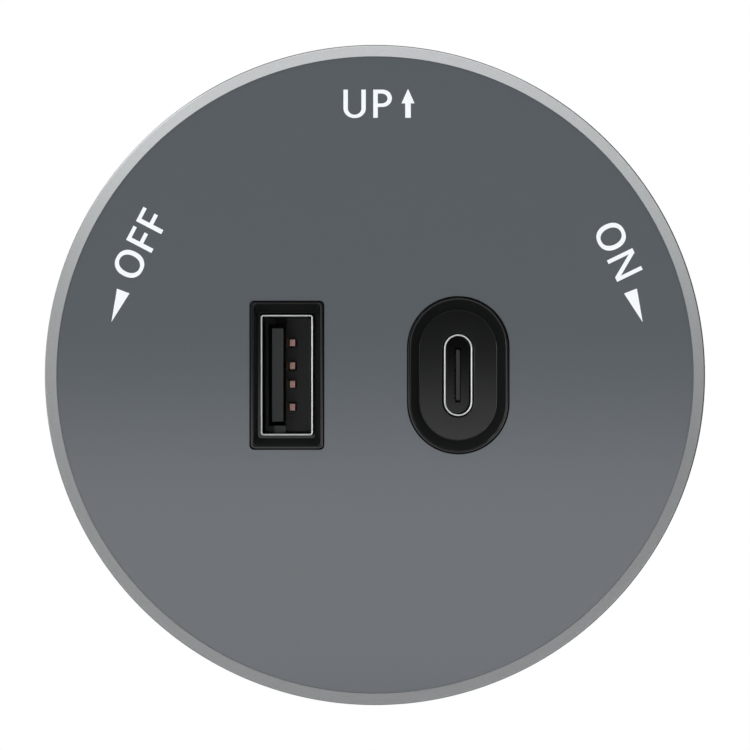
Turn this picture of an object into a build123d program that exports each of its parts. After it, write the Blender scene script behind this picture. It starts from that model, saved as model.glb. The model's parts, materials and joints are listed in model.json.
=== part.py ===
from build123d import *
import math
import os

# A round twist-lock adapter that plugs into a wall power track and gives a
# USB-A and a USB-C outlet. Everything is modelled lying on its back, with x to
# the right, y up the face and z out towards the user, and z = 0 on the front
# face of the track. stand() turns each finished piece upright at the end, so
# that the face looks along -Y and +Z is up. All sizes are in millimetres.

# Head: aluminium ring and painted face plate
HEAD_R = 35.78
FACE_R = 34.435
RIM_TOP_Z = 33.0
RIM_LAND = 0.065
RIM_ROUND = 0.55
RING_BORE_R = 33.9
RING_REAR_Z = 0.6
RING_REAR_BREAK = 0.4
RIB_R = 33.0
RIB_HEIGHT = 1.2
PLATE_THICK = 2.0
PLATE_SET_DOWN = 0.05
PLATE_GAP = 0.035

# Front carrier with its three screw towers
CARRIER_R = 33.8
CARRIER_THICK = 2.35
TOWER_R = 3.3
TOWER_CIRCLE_R = 29.4
TOWER_ANGLES = (30, 150, 270)

# Outlets in the face: openings, black surrounds and metal shells
PORT_A_X = -9.55
PORT_A_OPENING = (8.14, 16.13)
PORT_A_CORNER = 0.5
PORT_A_SHELL = (5.7, 13.1)
PORT_A_SHELL_CORNER = 0.5
PORT_C_X = 9.01
PORT_C_OPENING = (11.09, 17.1)
PORT_C_SHELL = (3.15, 8.94)
PORT_C_FLOOR = (8.42, 14.12)
OPENING_GAP = 0.12
BEZEL_PROUD = 0.12
BEZEL_RIM = 0.27
BEZEL_RIM_ROUND = 0.12
BEZEL_DEPTH = 4.17
FLANGE_THICK = 0.8
FLANGE_WIDE = 0.8
SLOT_ROUND_SHELL_A = 0.11
LEDGE_ROUND_SLOT_A = 0.15
SLOT_ROUND_SHELL_C = 0.13
SHELL_A_FRONT_Z = 31.6
SHELL_C_FRONT_Z = 31.35
SHELL_A_PROUD = 0.15
SHELL_C_PROUD = 0.1
SHELL_A_WALL = 0.28
SHELL_C_WALL = 0.22
PLUG_DEPTH_A = 11.4
PLUG_DEPTH_C = 6.65
LEG_LENGTH = 2.4
LEG_A_WIDE = 1.4
LEG_A_Y = 3.4
LEG_C_WIDE = 1.2
LEG_C_Y = 2.2

# Inside the USB-A outlet: tongue, its side blocks and the contact springs
TONGUE_A_X = (-11.58, -9.70)
TONGUE_A_NOSE_X = (-11.15, -9.96)
TONGUE_A_HALF = 5.51
TONGUE_A_NOSE_HALF = 5.04
TONGUE_A_FRONT_Z = 30.7
TONGUE_A_NOSE_DROP = 1.6
SIDE_BLOCK_X = -10.93
UPPER_BLOCK_FRONT_Z = 22.0
LOWER_BLOCK_FRONT_Z = 30.68
CONTACT_A_Y = (3.5, 1.0, -1.0, -3.5)
CONTACT_A_FOOT_X = (-9.75, -9.42)
CONTACT_A_FOOT_HALF = 0.5
CONTACT_A_FOOT_FRONT_Z = 27.0
CONTACT_A_TIP_X = (-9.26, -8.70)
CONTACT_A_TIP_HALF = 0.36
CONTACT_A_TIP_FRONT_Z = 29.4
CONTACT_A_FOLD = 0.5
CONTACT_A_POCKET_X = (-9.80, -8.64)
CONTACT_A_POCKET_HALF = 0.53

# Inside the USB-C outlet: thin tongue with gold strips, and the pedestal
TONGUE_C_HALF = 3.0
TONGUE_C_THICK = 0.6
TONGUE_C_SET_BACK = 0.85
TONGUE_C_NOSE = (0.4, 5.4)
TONGUE_C_NOSE_DROP = 0.5
CONTACT_C_PITCH = 0.5
CONTACT_C_COUNT = 11
CONTACT_C_HALF = 0.12
CONTACT_C_THICK = 0.1
PEDESTAL_SIZE = (4.8, 10.8)
PEDESTAL_HEIGHT = 5.6

# Boards, the spacers between them and the pin header
POWER_BOARD_Z = 7.4
POWER_BOARD_R = 31.5
USB_BOARD_Z = 17.0
USB_BOARD_SIZE = (40.0, 26.0)
BOARD_THICK = 1.6
STANDOFF_R = 2.6
STANDOFF_CIRCLE_R = 27.5
STANDOFF_ANGLES = (55, 125, 215, 325)
SPACER_R = 2.5
SPACER_AT = ((-17.0, 10.2), (17.0, 10.2), (-17.0, -10.2), (17.0, -10.2))
SPACER_PEG_R = 1.2
SPACER_PEG_PROUD = 0.6
HEADER_X = -16.6
HEADER_SIZE = (2.5, 12.7, 2.5)
HEADER_PINS = 5
HEADER_PITCH = 2.54
PIN_R = 0.32
PIN_PROUD = 0.8

# Transformer on the upper half of the power board
TRANSFORMER_Y = 21.3
CORE_HALF = (8.0, 2.6)
CORE_Z = (11.4, 23.4)
CORE_BAR = 2.0
CORE_LEG = 2.1
CORE_SIDE = 2.2
BOBBIN_HALF = (5.7, 6.2)
BOBBIN_WALL = 0.8
WINDING_SIZE = (10.8, 11.6)
WINDING_CORNER = 1.5

# Other parts on the power board: places as x and y, cans and discs as radius
# and height or thickness, chips as width, length and height
INPUT_CAN = (4.0, 14.0)
INPUT_CANS_AT = ((-11.5, -19.2), (-2.6, -19.2))
OUTPUT_CAN = (3.15, 11.5)
OUTPUT_CANS_AT = ((6.4, -19.0), (13.6, -18.4))
CAN_NECK_Z = 2.0
FUSE_AT = (-26.0, 3.0)
FUSE_SIZE = (4.2, 8.4, 7.4)
FUSE_LEAD_STEP = 2.5
VARISTOR_AT = (-26.2, -7.2)
VARISTOR_DISC = (3.6, 3.2)
SAFETY_CAPACITOR_AT = (26.6, -7.0)
SAFETY_CAPACITOR_DISC = (3.4, 2.8)
DISC_LIFT = 0.8
LEAD_R = 0.3
CHOKE_AT = (25.8, 3.6)
CHOKE_HEIGHT = 10.0
CHOKE_POST_R = 2.0
CHOKE_COIL_R = 3.6
CHOKE_FLANGE_R = 4.0
CHOKE_FLANGE = 1.2
BRIDGE_AT = (-7.5, 6.4)
BRIDGE_SIZE = (5.0, 6.4, 2.6)
CONTROLLER_AT = (7.0, 6.2)
RECTIFIER_AT = (7.0, -5.6)
POWER_CHIP_SIZE = (4.0, 5.0, 1.6)
POWER_CHIP_PITCH = 1.27
PORT_CHIP_AT = (-0.6, 5.4)
PORT_CHIP_SIZE = (4.4, 5.0, 1.0)
PORT_CHIP_PITCH = 0.95
INDUCTOR_AT = (-0.6, -5.3)
INDUCTOR_SIZE = (6.6, 6.6, 3.2)

# Screws: head and shank radius, seat and tip levels
COVER_SCREW_HEAD_R = 2.8
COVER_SCREW_R = 1.45
COVER_SCREW_SEAT_Z = 2.6
COVER_SCREW_TIP_Z = 14.0
BOARD_SCREW_HEAD_R = 2.2
BOARD_SCREW_R = 1.1
BOARD_SCREW_TIP_Z = 4.8
BLADE_SCREW_HEAD_R = 1.3
BLADE_SCREW_R = 0.8
BLADE_SCREW_X = 3.35
BLADE_SCREW_LENGTH = 5.0
CLAMP_SCREW_HEAD_R = 1.5
CLAMP_SCREW_R = 0.9
CLAMP_SCREW_X = 3.1
CLAMP_SCREW_TIP_Z = -1.0

# Rear cover: disc with a raised outer band and the click-ball turret
COVER_R = 33.85
COVER_RIM_Z = 0.8
COVER_FLOOR_Z = 3.0
COVER_TOP_Z = 5.4
COVER_BAND_R = 25.6
COVER_HEAD_SEAT_R = 3.1
KEY_FLAT_X = 4.2
BALL_BORE_R = 1.25
BALL_TURRET_R = 2.7
BALL_TURRET_Z = 7.2
BALL_PLUG_R = 1.6
BALL_PLUG_Z = 6.4

# Track side: keyed base that stays still and the rotor that turns in it
BASE_R = 25.0
BASE_THICK = 2.4
BASE_BREAK = 0.4
KEY_LENGTH = 34.0
KEY_WIDTH = 11.6
KEY_DEPTH = 3.0
KEY_CORNER = 1.2
WASHER_R = 14.0
NECK_R = 4.6
RUNNING_GAP = 0.05
BLADE_TOP_Z = -3.15
BLADE_FLOOR_Z = -15.4
BLADE_END_Z = -17.0
BLADE_HALF_WIDTH = 4.9
BLADE_HALF_LENGTH = 14.0
BLADE_CORNER = 2.0
CLAMP_R = 11.0
CLAMP_TOP_Z = 6.3

# End stop and click ball, both on one circle of the base
STOP_CIRCLE_R = 18.0
STOP_PIN_R = 1.25
STOP_PIN_ANGLE = 20
STOP_SLOT_DEPTH = 1.4
STOP_SLOT_GAP = 0.3
STOP_SLOT_SPARE = 0.25
TURN_DEG = 90
BALL_R = 1.2
BALL_ANGLE = 250
BALL_LIFT = 0.03
GROOVE_R = 1.3
GROOVE_DEPTH = 0.5
PIT_DEPTH = 0.8

# Conducting strips and the sprung contacts on the blade
STRIP_THICK = 0.8
STRIP_HALF = 1.25
STRIP_NECK_Y = 2.9
STRIP_SEAT_Y = 6.0
STRIP_FIT = 0.05
CONTACT_PROUD = 1.2
SHOE_HALF = 1.8
SHOE_TOP_Z = -10.5
SHOE_ROUND = 0.9
SHOE_FLANGE_Y = (10.5, 11.9)
POCKET_HALF = 2.5
POCKET_END_Y = 12.9
POCKET_TOP_Z = -9.6
EARTH_PIN_R = 1.25
EARTH_PIN_ROUND = 0.7
EARTH_FLANGE = 1.2
EARTH_POCKET_R = 1.95
EARTH_SEAT_Z = -9.5

# Springs: outer radius, wire radius and turns
END_SPRING = (1.9, 0.25, 4)
EARTH_SPRING = (1.7, 0.22, 4)
BALL_SPRING = (1.0, 0.15, 4)

# Levels that follow from the sizes above
PLATE_TOP_Z = RIM_TOP_Z - PLATE_SET_DOWN
PLATE_BACK_Z = PLATE_TOP_Z - PLATE_THICK
CARRIER_BACK_Z = PLATE_BACK_Z - CARRIER_THICK
BEZEL_TOP_Z = PLATE_TOP_Z + BEZEL_PROUD
BEZEL_BACK_Z = BEZEL_TOP_Z - BEZEL_DEPTH
FLANGE_Z = PLATE_BACK_Z - FLANGE_THICK
POWER_TOP_Z = POWER_BOARD_Z + BOARD_THICK
USB_TOP_Z = USB_BOARD_Z + BOARD_THICK
CAVITY_A_Z = SHELL_A_FRONT_Z - PLUG_DEPTH_A
CAVITY_C_Z = SHELL_C_FRONT_Z - PLUG_DEPTH_C
BALL_Z = BASE_THICK - GROOVE_DEPTH + BALL_LIFT + BALL_R
SHOE_LOW_Z = BLADE_FLOOR_Z + 0.15
BLADE_SCREW_SEAT_Z = BLADE_END_Z + 0.9
STRIP_BEND_Z = BLADE_TOP_Z - 2.85
STRIP_TIP_Z = POWER_TOP_Z + 0.7

# How far a cutting shape runs past the piece that it cuts
PAST = 1.0


def stand(shape):
    """Turn a finished piece upright: face along -Y, top along +Z."""
    return Rot(90, 0, 0) * shape


def save(name, pieces):
    """Write one node, a single piece or a group of separate ones."""
    if isinstance(pieces, (list, tuple)):
        shape = Compound(children=[stand(p).solid() for p in pieces])
    else:
        shape = stand(pieces)
    export_step(shape, f"parts/{name}.step")


def rod(radius, z0, z1, x=0.0, y=0.0):
    """Upright cylinder between two levels."""
    return Pos(x, y, (z0 + z1) / 2) * Cylinder(radius, z1 - z0)


def block(x0, x1, y0, y1, z0, z1):
    """Box between two corners, given in any order."""
    middle = Pos((x0 + x1) / 2, (y0 + y1) / 2, (z0 + z1) / 2)
    return middle * Box(abs(x1 - x0), abs(y1 - y0), abs(z1 - z0))


def around(radius, angle):
    """Point on a circle round the axis."""
    a = math.radians(angle)
    return radius * math.cos(a), radius * math.sin(a)


def rounded(size, corner, x, z):
    """Rounded rectangle in the plane of the face."""
    return Pos(x, 0, z) * RectangleRounded(size[0], size[1], corner)


def stadium(size, x, z):
    """Upright slot outline, size as width and height."""
    return Pos(x, 0, z) * Rot(0, 0, 90) * SlotOverall(size[1], size[0])


def grown(size, by):
    """A width and height with the same border added all round."""
    return size[0] + 2 * by, size[1] + 2 * by


def top_edges(shape):
    return shape.edges().group_by(Axis.Z)[-1]


# Aluminium ring: plain wall with a chamfered front rim, a front rebate for the
# face plate, an inner rib that the rear cover stops against, and a rear skirt.
def head_ring():
    edge_r = FACE_R + RIM_LAND
    chamfer_foot_z = RIM_TOP_Z - (HEAD_R - edge_r)
    rib_top_z = COVER_TOP_Z + RIB_HEIGHT
    with BuildPart() as made:
        with BuildSketch(Plane.XZ):
            with BuildLine():
                Polyline(
                    (RING_BORE_R, RING_REAR_Z),
                    (HEAD_R - RING_REAR_BREAK, RING_REAR_Z),
                    (HEAD_R, RING_REAR_Z + RING_REAR_BREAK),
                    (HEAD_R, chamfer_foot_z),
                    (edge_r, RIM_TOP_Z),
                    (FACE_R, RIM_TOP_Z),
                    (FACE_R, PLATE_BACK_Z),
                    (RING_BORE_R, PLATE_BACK_Z),
                    (RING_BORE_R, rib_top_z),
                    (RIB_R, rib_top_z),
                    (RIB_R, COVER_TOP_Z),
                    (RING_BORE_R, COVER_TOP_Z),
                    close=True,
                )
            make_face()
            fillet(vertices().sort_by_distance((HEAD_R, chamfer_foot_z))[0], RIM_ROUND)
        revolve(axis=Axis.Z)
    return made.part


# Painted face plate, flush in the ring, with the two outlet openings.
def face_plate():
    plate = rod(FACE_R - PLATE_GAP, PLATE_BACK_Z, PLATE_TOP_Z)
    low = PLATE_BACK_Z - PAST
    deep = PLATE_THICK + 2 * PAST
    plate -= extrude(rounded(PORT_A_OPENING, PORT_A_CORNER, PORT_A_X, low), deep)
    plate -= extrude(stadium(PORT_C_OPENING, PORT_C_X, low), deep)
    return plate


# Carrier behind the plate: it traps the bezel flanges and its towers take the
# long screws that pull the rear cover on.
def front_carrier():
    carrier = rod(CARRIER_R, CARRIER_BACK_Z, PLATE_BACK_Z)
    for angle in TOWER_ANGLES:
        x, y = around(TOWER_CIRCLE_R, angle)
        carrier += rod(TOWER_R, COVER_TOP_Z, CARRIER_BACK_Z, x, y)
        carrier -= rod(COVER_SCREW_R + 0.02, COVER_TOP_Z - PAST, COVER_SCREW_TIP_Z + 0.5, x, y)
    low = CARRIER_BACK_Z - PAST
    rebate_z = FLANGE_Z - 0.05
    through = CARRIER_THICK + 2 * PAST
    room = FLANGE_WIDE + 0.05
    carrier -= extrude(rounded(PORT_A_OPENING, PORT_A_CORNER, PORT_A_X, low), through)
    carrier -= extrude(stadium(PORT_C_OPENING, PORT_C_X, low), through)
    carrier -= extrude(rounded(grown(PORT_A_OPENING, room), 1.0, PORT_A_X, rebate_z), through)
    carrier -= extrude(stadium(grown(PORT_C_OPENING, room), PORT_C_X, rebate_z), through)
    return carrier


# Gloss black surround of the USB-A outlet: a rounded rim and four steep walls
# that lead down to a narrow ledge and the slot round the metal shell.
def usb_a_bezel():
    outer = grown(PORT_A_OPENING, -OPENING_GAP)
    mouth = grown(outer, -BEZEL_RIM)
    slot = grown(PORT_A_SHELL, SLOT_ROUND_SHELL_A)
    wall_foot = grown(slot, LEDGE_ROUND_SLOT_A)
    wall_foot_z = SHELL_A_FRONT_Z - SHELL_A_PROUD
    bezel = extrude(rounded(outer, PORT_A_CORNER - OPENING_GAP, PORT_A_X, BEZEL_BACK_Z), BEZEL_DEPTH)
    bezel -= loft([
        rounded(wall_foot, PORT_A_SHELL_CORNER, PORT_A_X, wall_foot_z),
        rounded(mouth, PORT_A_CORNER, PORT_A_X, BEZEL_TOP_Z),
    ])
    bezel = fillet(top_edges(bezel), BEZEL_RIM_ROUND)
    through = wall_foot_z - BEZEL_BACK_Z + PAST
    bezel -= extrude(rounded(slot, PORT_A_SHELL_CORNER, PORT_A_X, BEZEL_BACK_Z - PAST), through)
    flange = rounded(grown(outer, FLANGE_WIDE), 0.9, PORT_A_X, FLANGE_Z)
    flange -= rounded(grown(outer, -BEZEL_RIM / 2), PORT_A_CORNER, PORT_A_X, FLANGE_Z)
    return bezel + extrude(flange, FLANGE_THICK)


# Gloss black surround of the USB-C outlet: rounded rim, one steep wall, and a
# flat floor with a slot round the shell.
def usb_c_bezel():
    outer = grown(PORT_C_OPENING, -OPENING_GAP)
    mouth = grown(outer, -BEZEL_RIM)
    floor_z = SHELL_C_FRONT_Z - SHELL_C_PROUD
    bezel = extrude(stadium(outer, PORT_C_X, BEZEL_BACK_Z), BEZEL_DEPTH)
    bezel -= loft([
        stadium(PORT_C_FLOOR, PORT_C_X, floor_z),
        stadium(mouth, PORT_C_X, BEZEL_TOP_Z),
    ])
    bezel = fillet(top_edges(bezel), BEZEL_RIM_ROUND)
    slot = grown(PORT_C_SHELL, SLOT_ROUND_SHELL_C)
    bezel -= extrude(stadium(slot, PORT_C_X, BEZEL_BACK_Z - PAST), BEZEL_DEPTH)
    flange = stadium(grown(outer, FLANGE_WIDE), PORT_C_X, FLANGE_Z)
    flange -= stadium(grown(outer, -BEZEL_RIM / 2), PORT_C_X, FLANGE_Z)
    return bezel + extrude(flange, FLANGE_THICK)


def shell_legs(port_x, shell, wall, leg_y, wide, gap):
    """The four legs of a shell, or with a gap the board slots that take them."""
    half = shell[0] / 2
    half_leg = wide / 2 + gap
    legs = []
    for side in (-1, 1):
        near = port_x + side * (half - wall - gap)
        far = port_x + side * (half + gap)
        for y in (-leg_y, leg_y):
            legs.append(block(near, far, y - half_leg, y + half_leg, USB_TOP_Z - LEG_LENGTH, USB_TOP_Z + 0.2))
    return legs


def shell_a_legs(gap=0.0):
    return shell_legs(PORT_A_X, PORT_A_SHELL, SHELL_A_WALL, LEG_A_Y, LEG_A_WIDE, gap)


def shell_c_legs(gap=0.0):
    return shell_legs(PORT_C_X, PORT_C_SHELL, SHELL_C_WALL, LEG_C_Y, LEG_C_WIDE, gap)


# USB-A shell: folded steel tube with four board legs.
def usb_a_shell():
    inner = grown(PORT_A_SHELL, -SHELL_A_WALL)
    length = SHELL_A_FRONT_Z - USB_TOP_Z
    shell = extrude(rounded(PORT_A_SHELL, PORT_A_SHELL_CORNER, PORT_A_X, USB_TOP_Z), length)
    shell -= extrude(rounded(inner, 0.25, PORT_A_X, USB_TOP_Z - PAST), length + 2 * PAST)
    for leg in shell_a_legs():
        shell += leg
    return shell


# USB-A tongue: the plastic block at the bottom of the shell, the tongue that
# stands on it with a tapered nose, and one block beside each end of the tongue.
def usb_a_tongue():
    inner = grown(PORT_A_SHELL, -SHELL_A_WALL - 0.02)
    body = extrude(rounded(inner, 0.25, PORT_A_X, USB_TOP_Z), CAVITY_A_Z - USB_TOP_Z)
    x0, x1 = TONGUE_A_X
    n0, n1 = TONGUE_A_NOSE_X
    stem_top = TONGUE_A_FRONT_Z - TONGUE_A_NOSE_DROP
    body += block(x0, x1, -TONGUE_A_HALF, TONGUE_A_HALF, CAVITY_A_Z, stem_top)
    wide = Pos((x0 + x1) / 2, 0, stem_top) * Rectangle(x1 - x0, 2 * TONGUE_A_HALF)
    narrow = Pos((n0 + n1) / 2, 0, TONGUE_A_FRONT_Z) * Rectangle(n1 - n0, 2 * TONGUE_A_NOSE_HALF)
    body += loft([wide, narrow])
    end_y = inner[1] / 2
    body += block(SIDE_BLOCK_X, x1, 0, end_y, CAVITY_A_Z, UPPER_BLOCK_FRONT_Z)
    body += block(SIDE_BLOCK_X, x1, -end_y, -TONGUE_A_HALF, CAVITY_A_Z, LOWER_BLOCK_FRONT_Z)
    for y in CONTACT_A_Y:
        low_z = USB_TOP_Z + 0.35
        body -= block(*CONTACT_A_POCKET_X, y - CONTACT_A_POCKET_HALF, y + CONTACT_A_POCKET_HALF,
                      low_z, CAVITY_A_Z + PAST)
        body -= block(CONTACT_A_FOOT_X[0] - 0.02, CONTACT_A_POCKET_X[1],
                      y - CONTACT_A_POCKET_HALF, y + CONTACT_A_POCKET_HALF, low_z, stem_top - 0.5)
    return body


# USB-A contacts: four folded springs, each a wide foot against the tongue and
# a narrower tip that stands out from it.
def usb_a_contacts():
    springs = []
    f0, f1 = CONTACT_A_FOOT_X
    t0, t1 = CONTACT_A_TIP_X
    low = USB_TOP_Z + 0.4
    for y in CONTACT_A_Y:
        foot_low, foot_high = y - CONTACT_A_FOOT_HALF, y + CONTACT_A_FOOT_HALF
        tip_low, tip_high = y - CONTACT_A_TIP_HALF, y + CONTACT_A_TIP_HALF
        spring = block(f0, f1, foot_low, foot_high, low, CONTACT_A_FOOT_FRONT_Z)
        spring += block(f0, t1, tip_low, tip_high, low, low + CONTACT_A_FOLD)
        spring += block(t0, t1, tip_low, tip_high, low, CONTACT_A_TIP_FRONT_Z)
        springs.append(spring)
    return springs


# USB-C shell: seamless oval tube with two board legs at each long side.
def usb_c_shell():
    inner = grown(PORT_C_SHELL, -SHELL_C_WALL)
    length = SHELL_C_FRONT_Z - USB_TOP_Z
    shell = extrude(stadium(PORT_C_SHELL, PORT_C_X, USB_TOP_Z), length)
    shell -= extrude(stadium(inner, PORT_C_X, USB_TOP_Z - PAST), length + 2 * PAST)
    for leg in shell_c_legs():
        shell += leg
    return shell


# USB-C tongue: thin plastic blade on the block that fills the shell's rear.
def usb_c_tongue():
    inner = grown(PORT_C_SHELL, -SHELL_C_WALL - 0.02)
    body = extrude(stadium(inner, PORT_C_X, USB_TOP_Z), CAVITY_C_Z - USB_TOP_Z)
    half = TONGUE_C_THICK / 2
    front = SHELL_C_FRONT_Z - TONGUE_C_SET_BACK
    stem_top = front - TONGUE_C_NOSE_DROP
    body += block(PORT_C_X - half, PORT_C_X + half, -TONGUE_C_HALF, TONGUE_C_HALF, CAVITY_C_Z, stem_top)
    wide = Pos(PORT_C_X, 0, stem_top) * Rectangle(TONGUE_C_THICK, 2 * TONGUE_C_HALF)
    narrow = Pos(PORT_C_X, 0, front) * Rectangle(*TONGUE_C_NOSE)
    body += loft([wide, narrow])
    for contact in usb_c_contacts():
        body -= contact
    return body


# USB-C contacts: gold strips let into both sides of the tongue.
def usb_c_contacts():
    outer = TONGUE_C_THICK / 2
    strips = []
    for side in (-1, 1):
        for i in range(CONTACT_C_COUNT):
            y = (i - (CONTACT_C_COUNT - 1) / 2) * CONTACT_C_PITCH
            near = PORT_C_X + side * (outer - CONTACT_C_THICK)
            far = PORT_C_X + side * outer
            strips.append(block(near, far, y - CONTACT_C_HALF, y + CONTACT_C_HALF,
                                CAVITY_C_Z + 0.2, SHELL_C_FRONT_Z - 1.6))
    return strips


# Pedestal that lifts and steadies the USB-C shell on its board.
def usb_c_pedestal():
    bore = grown(PORT_C_SHELL, 0.02)
    pedestal = extrude(rounded(PEDESTAL_SIZE, 0.8, PORT_C_X, USB_TOP_Z), PEDESTAL_HEIGHT)
    return pedestal - extrude(stadium(bore, PORT_C_X, USB_TOP_Z - PAST), PEDESTAL_HEIGHT + 2 * PAST)


def header_places():
    """Centres of the pins that join the two boards."""
    for i in range(HEADER_PINS):
        yield HEADER_X, (i - (HEADER_PINS - 1) / 2) * HEADER_PITCH


def usb_board():
    outline = Pos(0, 0, USB_BOARD_Z) * RectangleRounded(*USB_BOARD_SIZE, 1.5)
    board = extrude(outline, BOARD_THICK)
    low, high = USB_BOARD_Z - PAST, USB_TOP_Z + PAST
    for x, y in SPACER_AT:
        board -= rod(SPACER_PEG_R + 0.02, low, high, x, y)
    for x, y in header_places():
        board -= rod(PIN_R + 0.03, low, high, x, y)
    for slot in shell_a_legs(0.05) + shell_c_legs(0.05):
        board -= slot
    return board


def board_spacers():
    spacers = []
    for x, y in SPACER_AT:
        spacer = rod(SPACER_R, POWER_TOP_Z, USB_BOARD_Z, x, y)
        spacer += rod(SPACER_PEG_R, POWER_BOARD_Z - SPACER_PEG_PROUD, POWER_TOP_Z, x, y)
        spacer += rod(SPACER_PEG_R, USB_BOARD_Z, USB_TOP_Z + SPACER_PEG_PROUD, x, y)
        spacers.append(spacer)
    return spacers


def header_strip():
    wide, long, tall = HEADER_SIZE
    strip = block(HEADER_X - wide / 2, HEADER_X + wide / 2, -long / 2, long / 2,
                  POWER_TOP_Z, POWER_TOP_Z + tall)
    for x, y in header_places():
        strip -= rod(PIN_R, POWER_TOP_Z - PAST, POWER_TOP_Z + tall + PAST, x, y)
    return strip


def header_pins():
    low, high = POWER_BOARD_Z - PIN_PROUD, USB_TOP_Z + PIN_PROUD
    return [rod(PIN_R, low, high, x, y) for x, y in header_places()]


def power_board():
    board = rod(POWER_BOARD_R, POWER_BOARD_Z, POWER_TOP_Z)
    low, high = POWER_BOARD_Z - PAST, POWER_TOP_Z + PAST
    for angle in TOWER_ANGLES:
        board -= rod(TOWER_R + 0.5, low, high, *around(TOWER_CIRCLE_R, angle))
    for angle in STANDOFF_ANGLES:
        board -= rod(BOARD_SCREW_R + 0.05, low, high, *around(STANDOFF_CIRCLE_R, angle))
    for x, y in SPACER_AT:
        board -= rod(SPACER_PEG_R + 0.02, low, high, x, y)
    for x, y in header_places():
        board -= rod(PIN_R + 0.03, low, high, x, y)
    half_wide, half_thick = STRIP_HALF + 0.15, STRIP_THICK / 2 + 0.15
    for y in (-STRIP_NECK_Y, 0.0, STRIP_NECK_Y):
        board -= block(-half_wide, half_wide, y - half_thick, y + half_thick, low, high)
    return board


def transformer_core():
    y0, y1 = TRANSFORMER_Y - CORE_HALF[1], TRANSFORMER_Y + CORE_HALF[1]
    core = block(-CORE_HALF[0], CORE_HALF[0], y0, y1, *CORE_Z)
    for side in (-1, 1):
        core -= block(side * CORE_LEG, side * (CORE_HALF[0] - CORE_SIDE), y0 - PAST, y1 + PAST,
                      CORE_Z[0] + CORE_BAR, CORE_Z[1] - CORE_BAR)
    return core


def bobbin_window():
    """Levels between which the core's window leaves room for the bobbin."""
    return CORE_Z[0] + CORE_BAR + 0.05, CORE_Z[1] - CORE_BAR - 0.05


def transformer_bobbin():
    wide, deep = BOBBIN_HALF
    y = TRANSFORMER_Y
    low, high = bobbin_window()
    bobbin = block(-CORE_HALF[0], CORE_HALF[0], y - deep, y + deep, POWER_TOP_Z, CORE_Z[0] - 0.05)
    for side in (-1, 1):
        bobbin += block(-wide, wide, y + side * (CORE_HALF[1] + 0.1), y + side * deep,
                        CORE_Z[0] - 0.1, low + BOBBIN_WALL)
    for z in (low, high - BOBBIN_WALL):
        bobbin += block(-wide, wide, y - deep, y + deep, z, z + BOBBIN_WALL)
    leg_x, leg_y = CORE_LEG + 0.1, CORE_HALF[1] + 0.1
    tube_x, tube_y = leg_x + BOBBIN_WALL, leg_y + BOBBIN_WALL
    bobbin += block(-tube_x, tube_x, y - tube_y, y + tube_y, low, high)
    return bobbin - block(-leg_x, leg_x, y - leg_y, y + leg_y, low - 0.01, high + PAST)


def transformer_winding():
    low, high = bobbin_window()
    low, high = low + BOBBIN_WALL, high - BOBBIN_WALL
    winding = extrude(Pos(0, TRANSFORMER_Y, low) * RectangleRounded(*WINDING_SIZE, WINDING_CORNER), high - low)
    x, y = CORE_LEG + 0.1 + BOBBIN_WALL, CORE_HALF[1] + 0.1 + BOBBIN_WALL
    return winding - block(-x, x, TRANSFORMER_Y - y, TRANSFORMER_Y + y, low - PAST, high + PAST)


# Upright electrolytic capacitor with a rolled neck above its rubber bung.
def capacitor(size, place):
    radius, height = size
    x, y = place
    can = rod(radius, POWER_TOP_Z, POWER_TOP_Z + height, x, y)
    can = fillet(top_edges(can), 0.5)
    return can - Pos(x, y, POWER_TOP_Z + CAN_NECK_Z) * Torus(radius + 0.35, 0.6)


def input_capacitors():
    return [capacitor(INPUT_CAN, place) for place in INPUT_CANS_AT]


def output_capacitors():
    return [capacitor(OUTPUT_CAN, place) for place in OUTPUT_CANS_AT]


# Boxed fuse on two leads.
def fuse():
    x, y = FUSE_AT
    wide, long, tall = FUSE_SIZE
    part = extrude(Pos(x, y, POWER_TOP_Z + 0.4) * RectangleRounded(wide, long, 0.6), tall)
    for side in (-1, 1):
        part += rod(LEAD_R, POWER_TOP_Z, POWER_TOP_Z + 0.6, x, y + side * FUSE_LEAD_STEP)
    return part


# Dipped disc standing on edge on two leads.
def disc_part(place, size):
    x, y = place
    radius, thick = size
    centre_z = POWER_TOP_Z + DISC_LIFT + radius
    disc = Pos(x, y, centre_z) * Rot(0, 90, 0) * Cylinder(radius, thick)
    disc = fillet(disc.edges().filter_by(GeomType.CIRCLE), thick * 0.3)
    for side in (-1, 1):
        disc += rod(LEAD_R, POWER_TOP_Z, centre_z, x, y + side * radius * 0.6)
    return disc


def varistor():
    return disc_part(VARISTOR_AT, VARISTOR_DISC)


def safety_capacitor():
    return disc_part(SAFETY_CAPACITOR_AT, SAFETY_CAPACITOR_DISC)


# Filter choke: a flanged ferrite post and the copper wound on it.
def choke_core():
    low, high = POWER_TOP_Z, POWER_TOP_Z + CHOKE_HEIGHT
    core = rod(CHOKE_POST_R, low, high, *CHOKE_AT)
    core += rod(CHOKE_FLANGE_R, low, low + CHOKE_FLANGE, *CHOKE_AT)
    return core + rod(CHOKE_FLANGE_R, high - CHOKE_FLANGE, high, *CHOKE_AT)


def choke_winding():
    low, high = POWER_TOP_Z + CHOKE_FLANGE, POWER_TOP_Z + CHOKE_HEIGHT - CHOKE_FLANGE
    return rod(CHOKE_COIL_R, low, high, *CHOKE_AT) - rod(CHOKE_POST_R, low - PAST, high + PAST, *CHOKE_AT)


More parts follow.
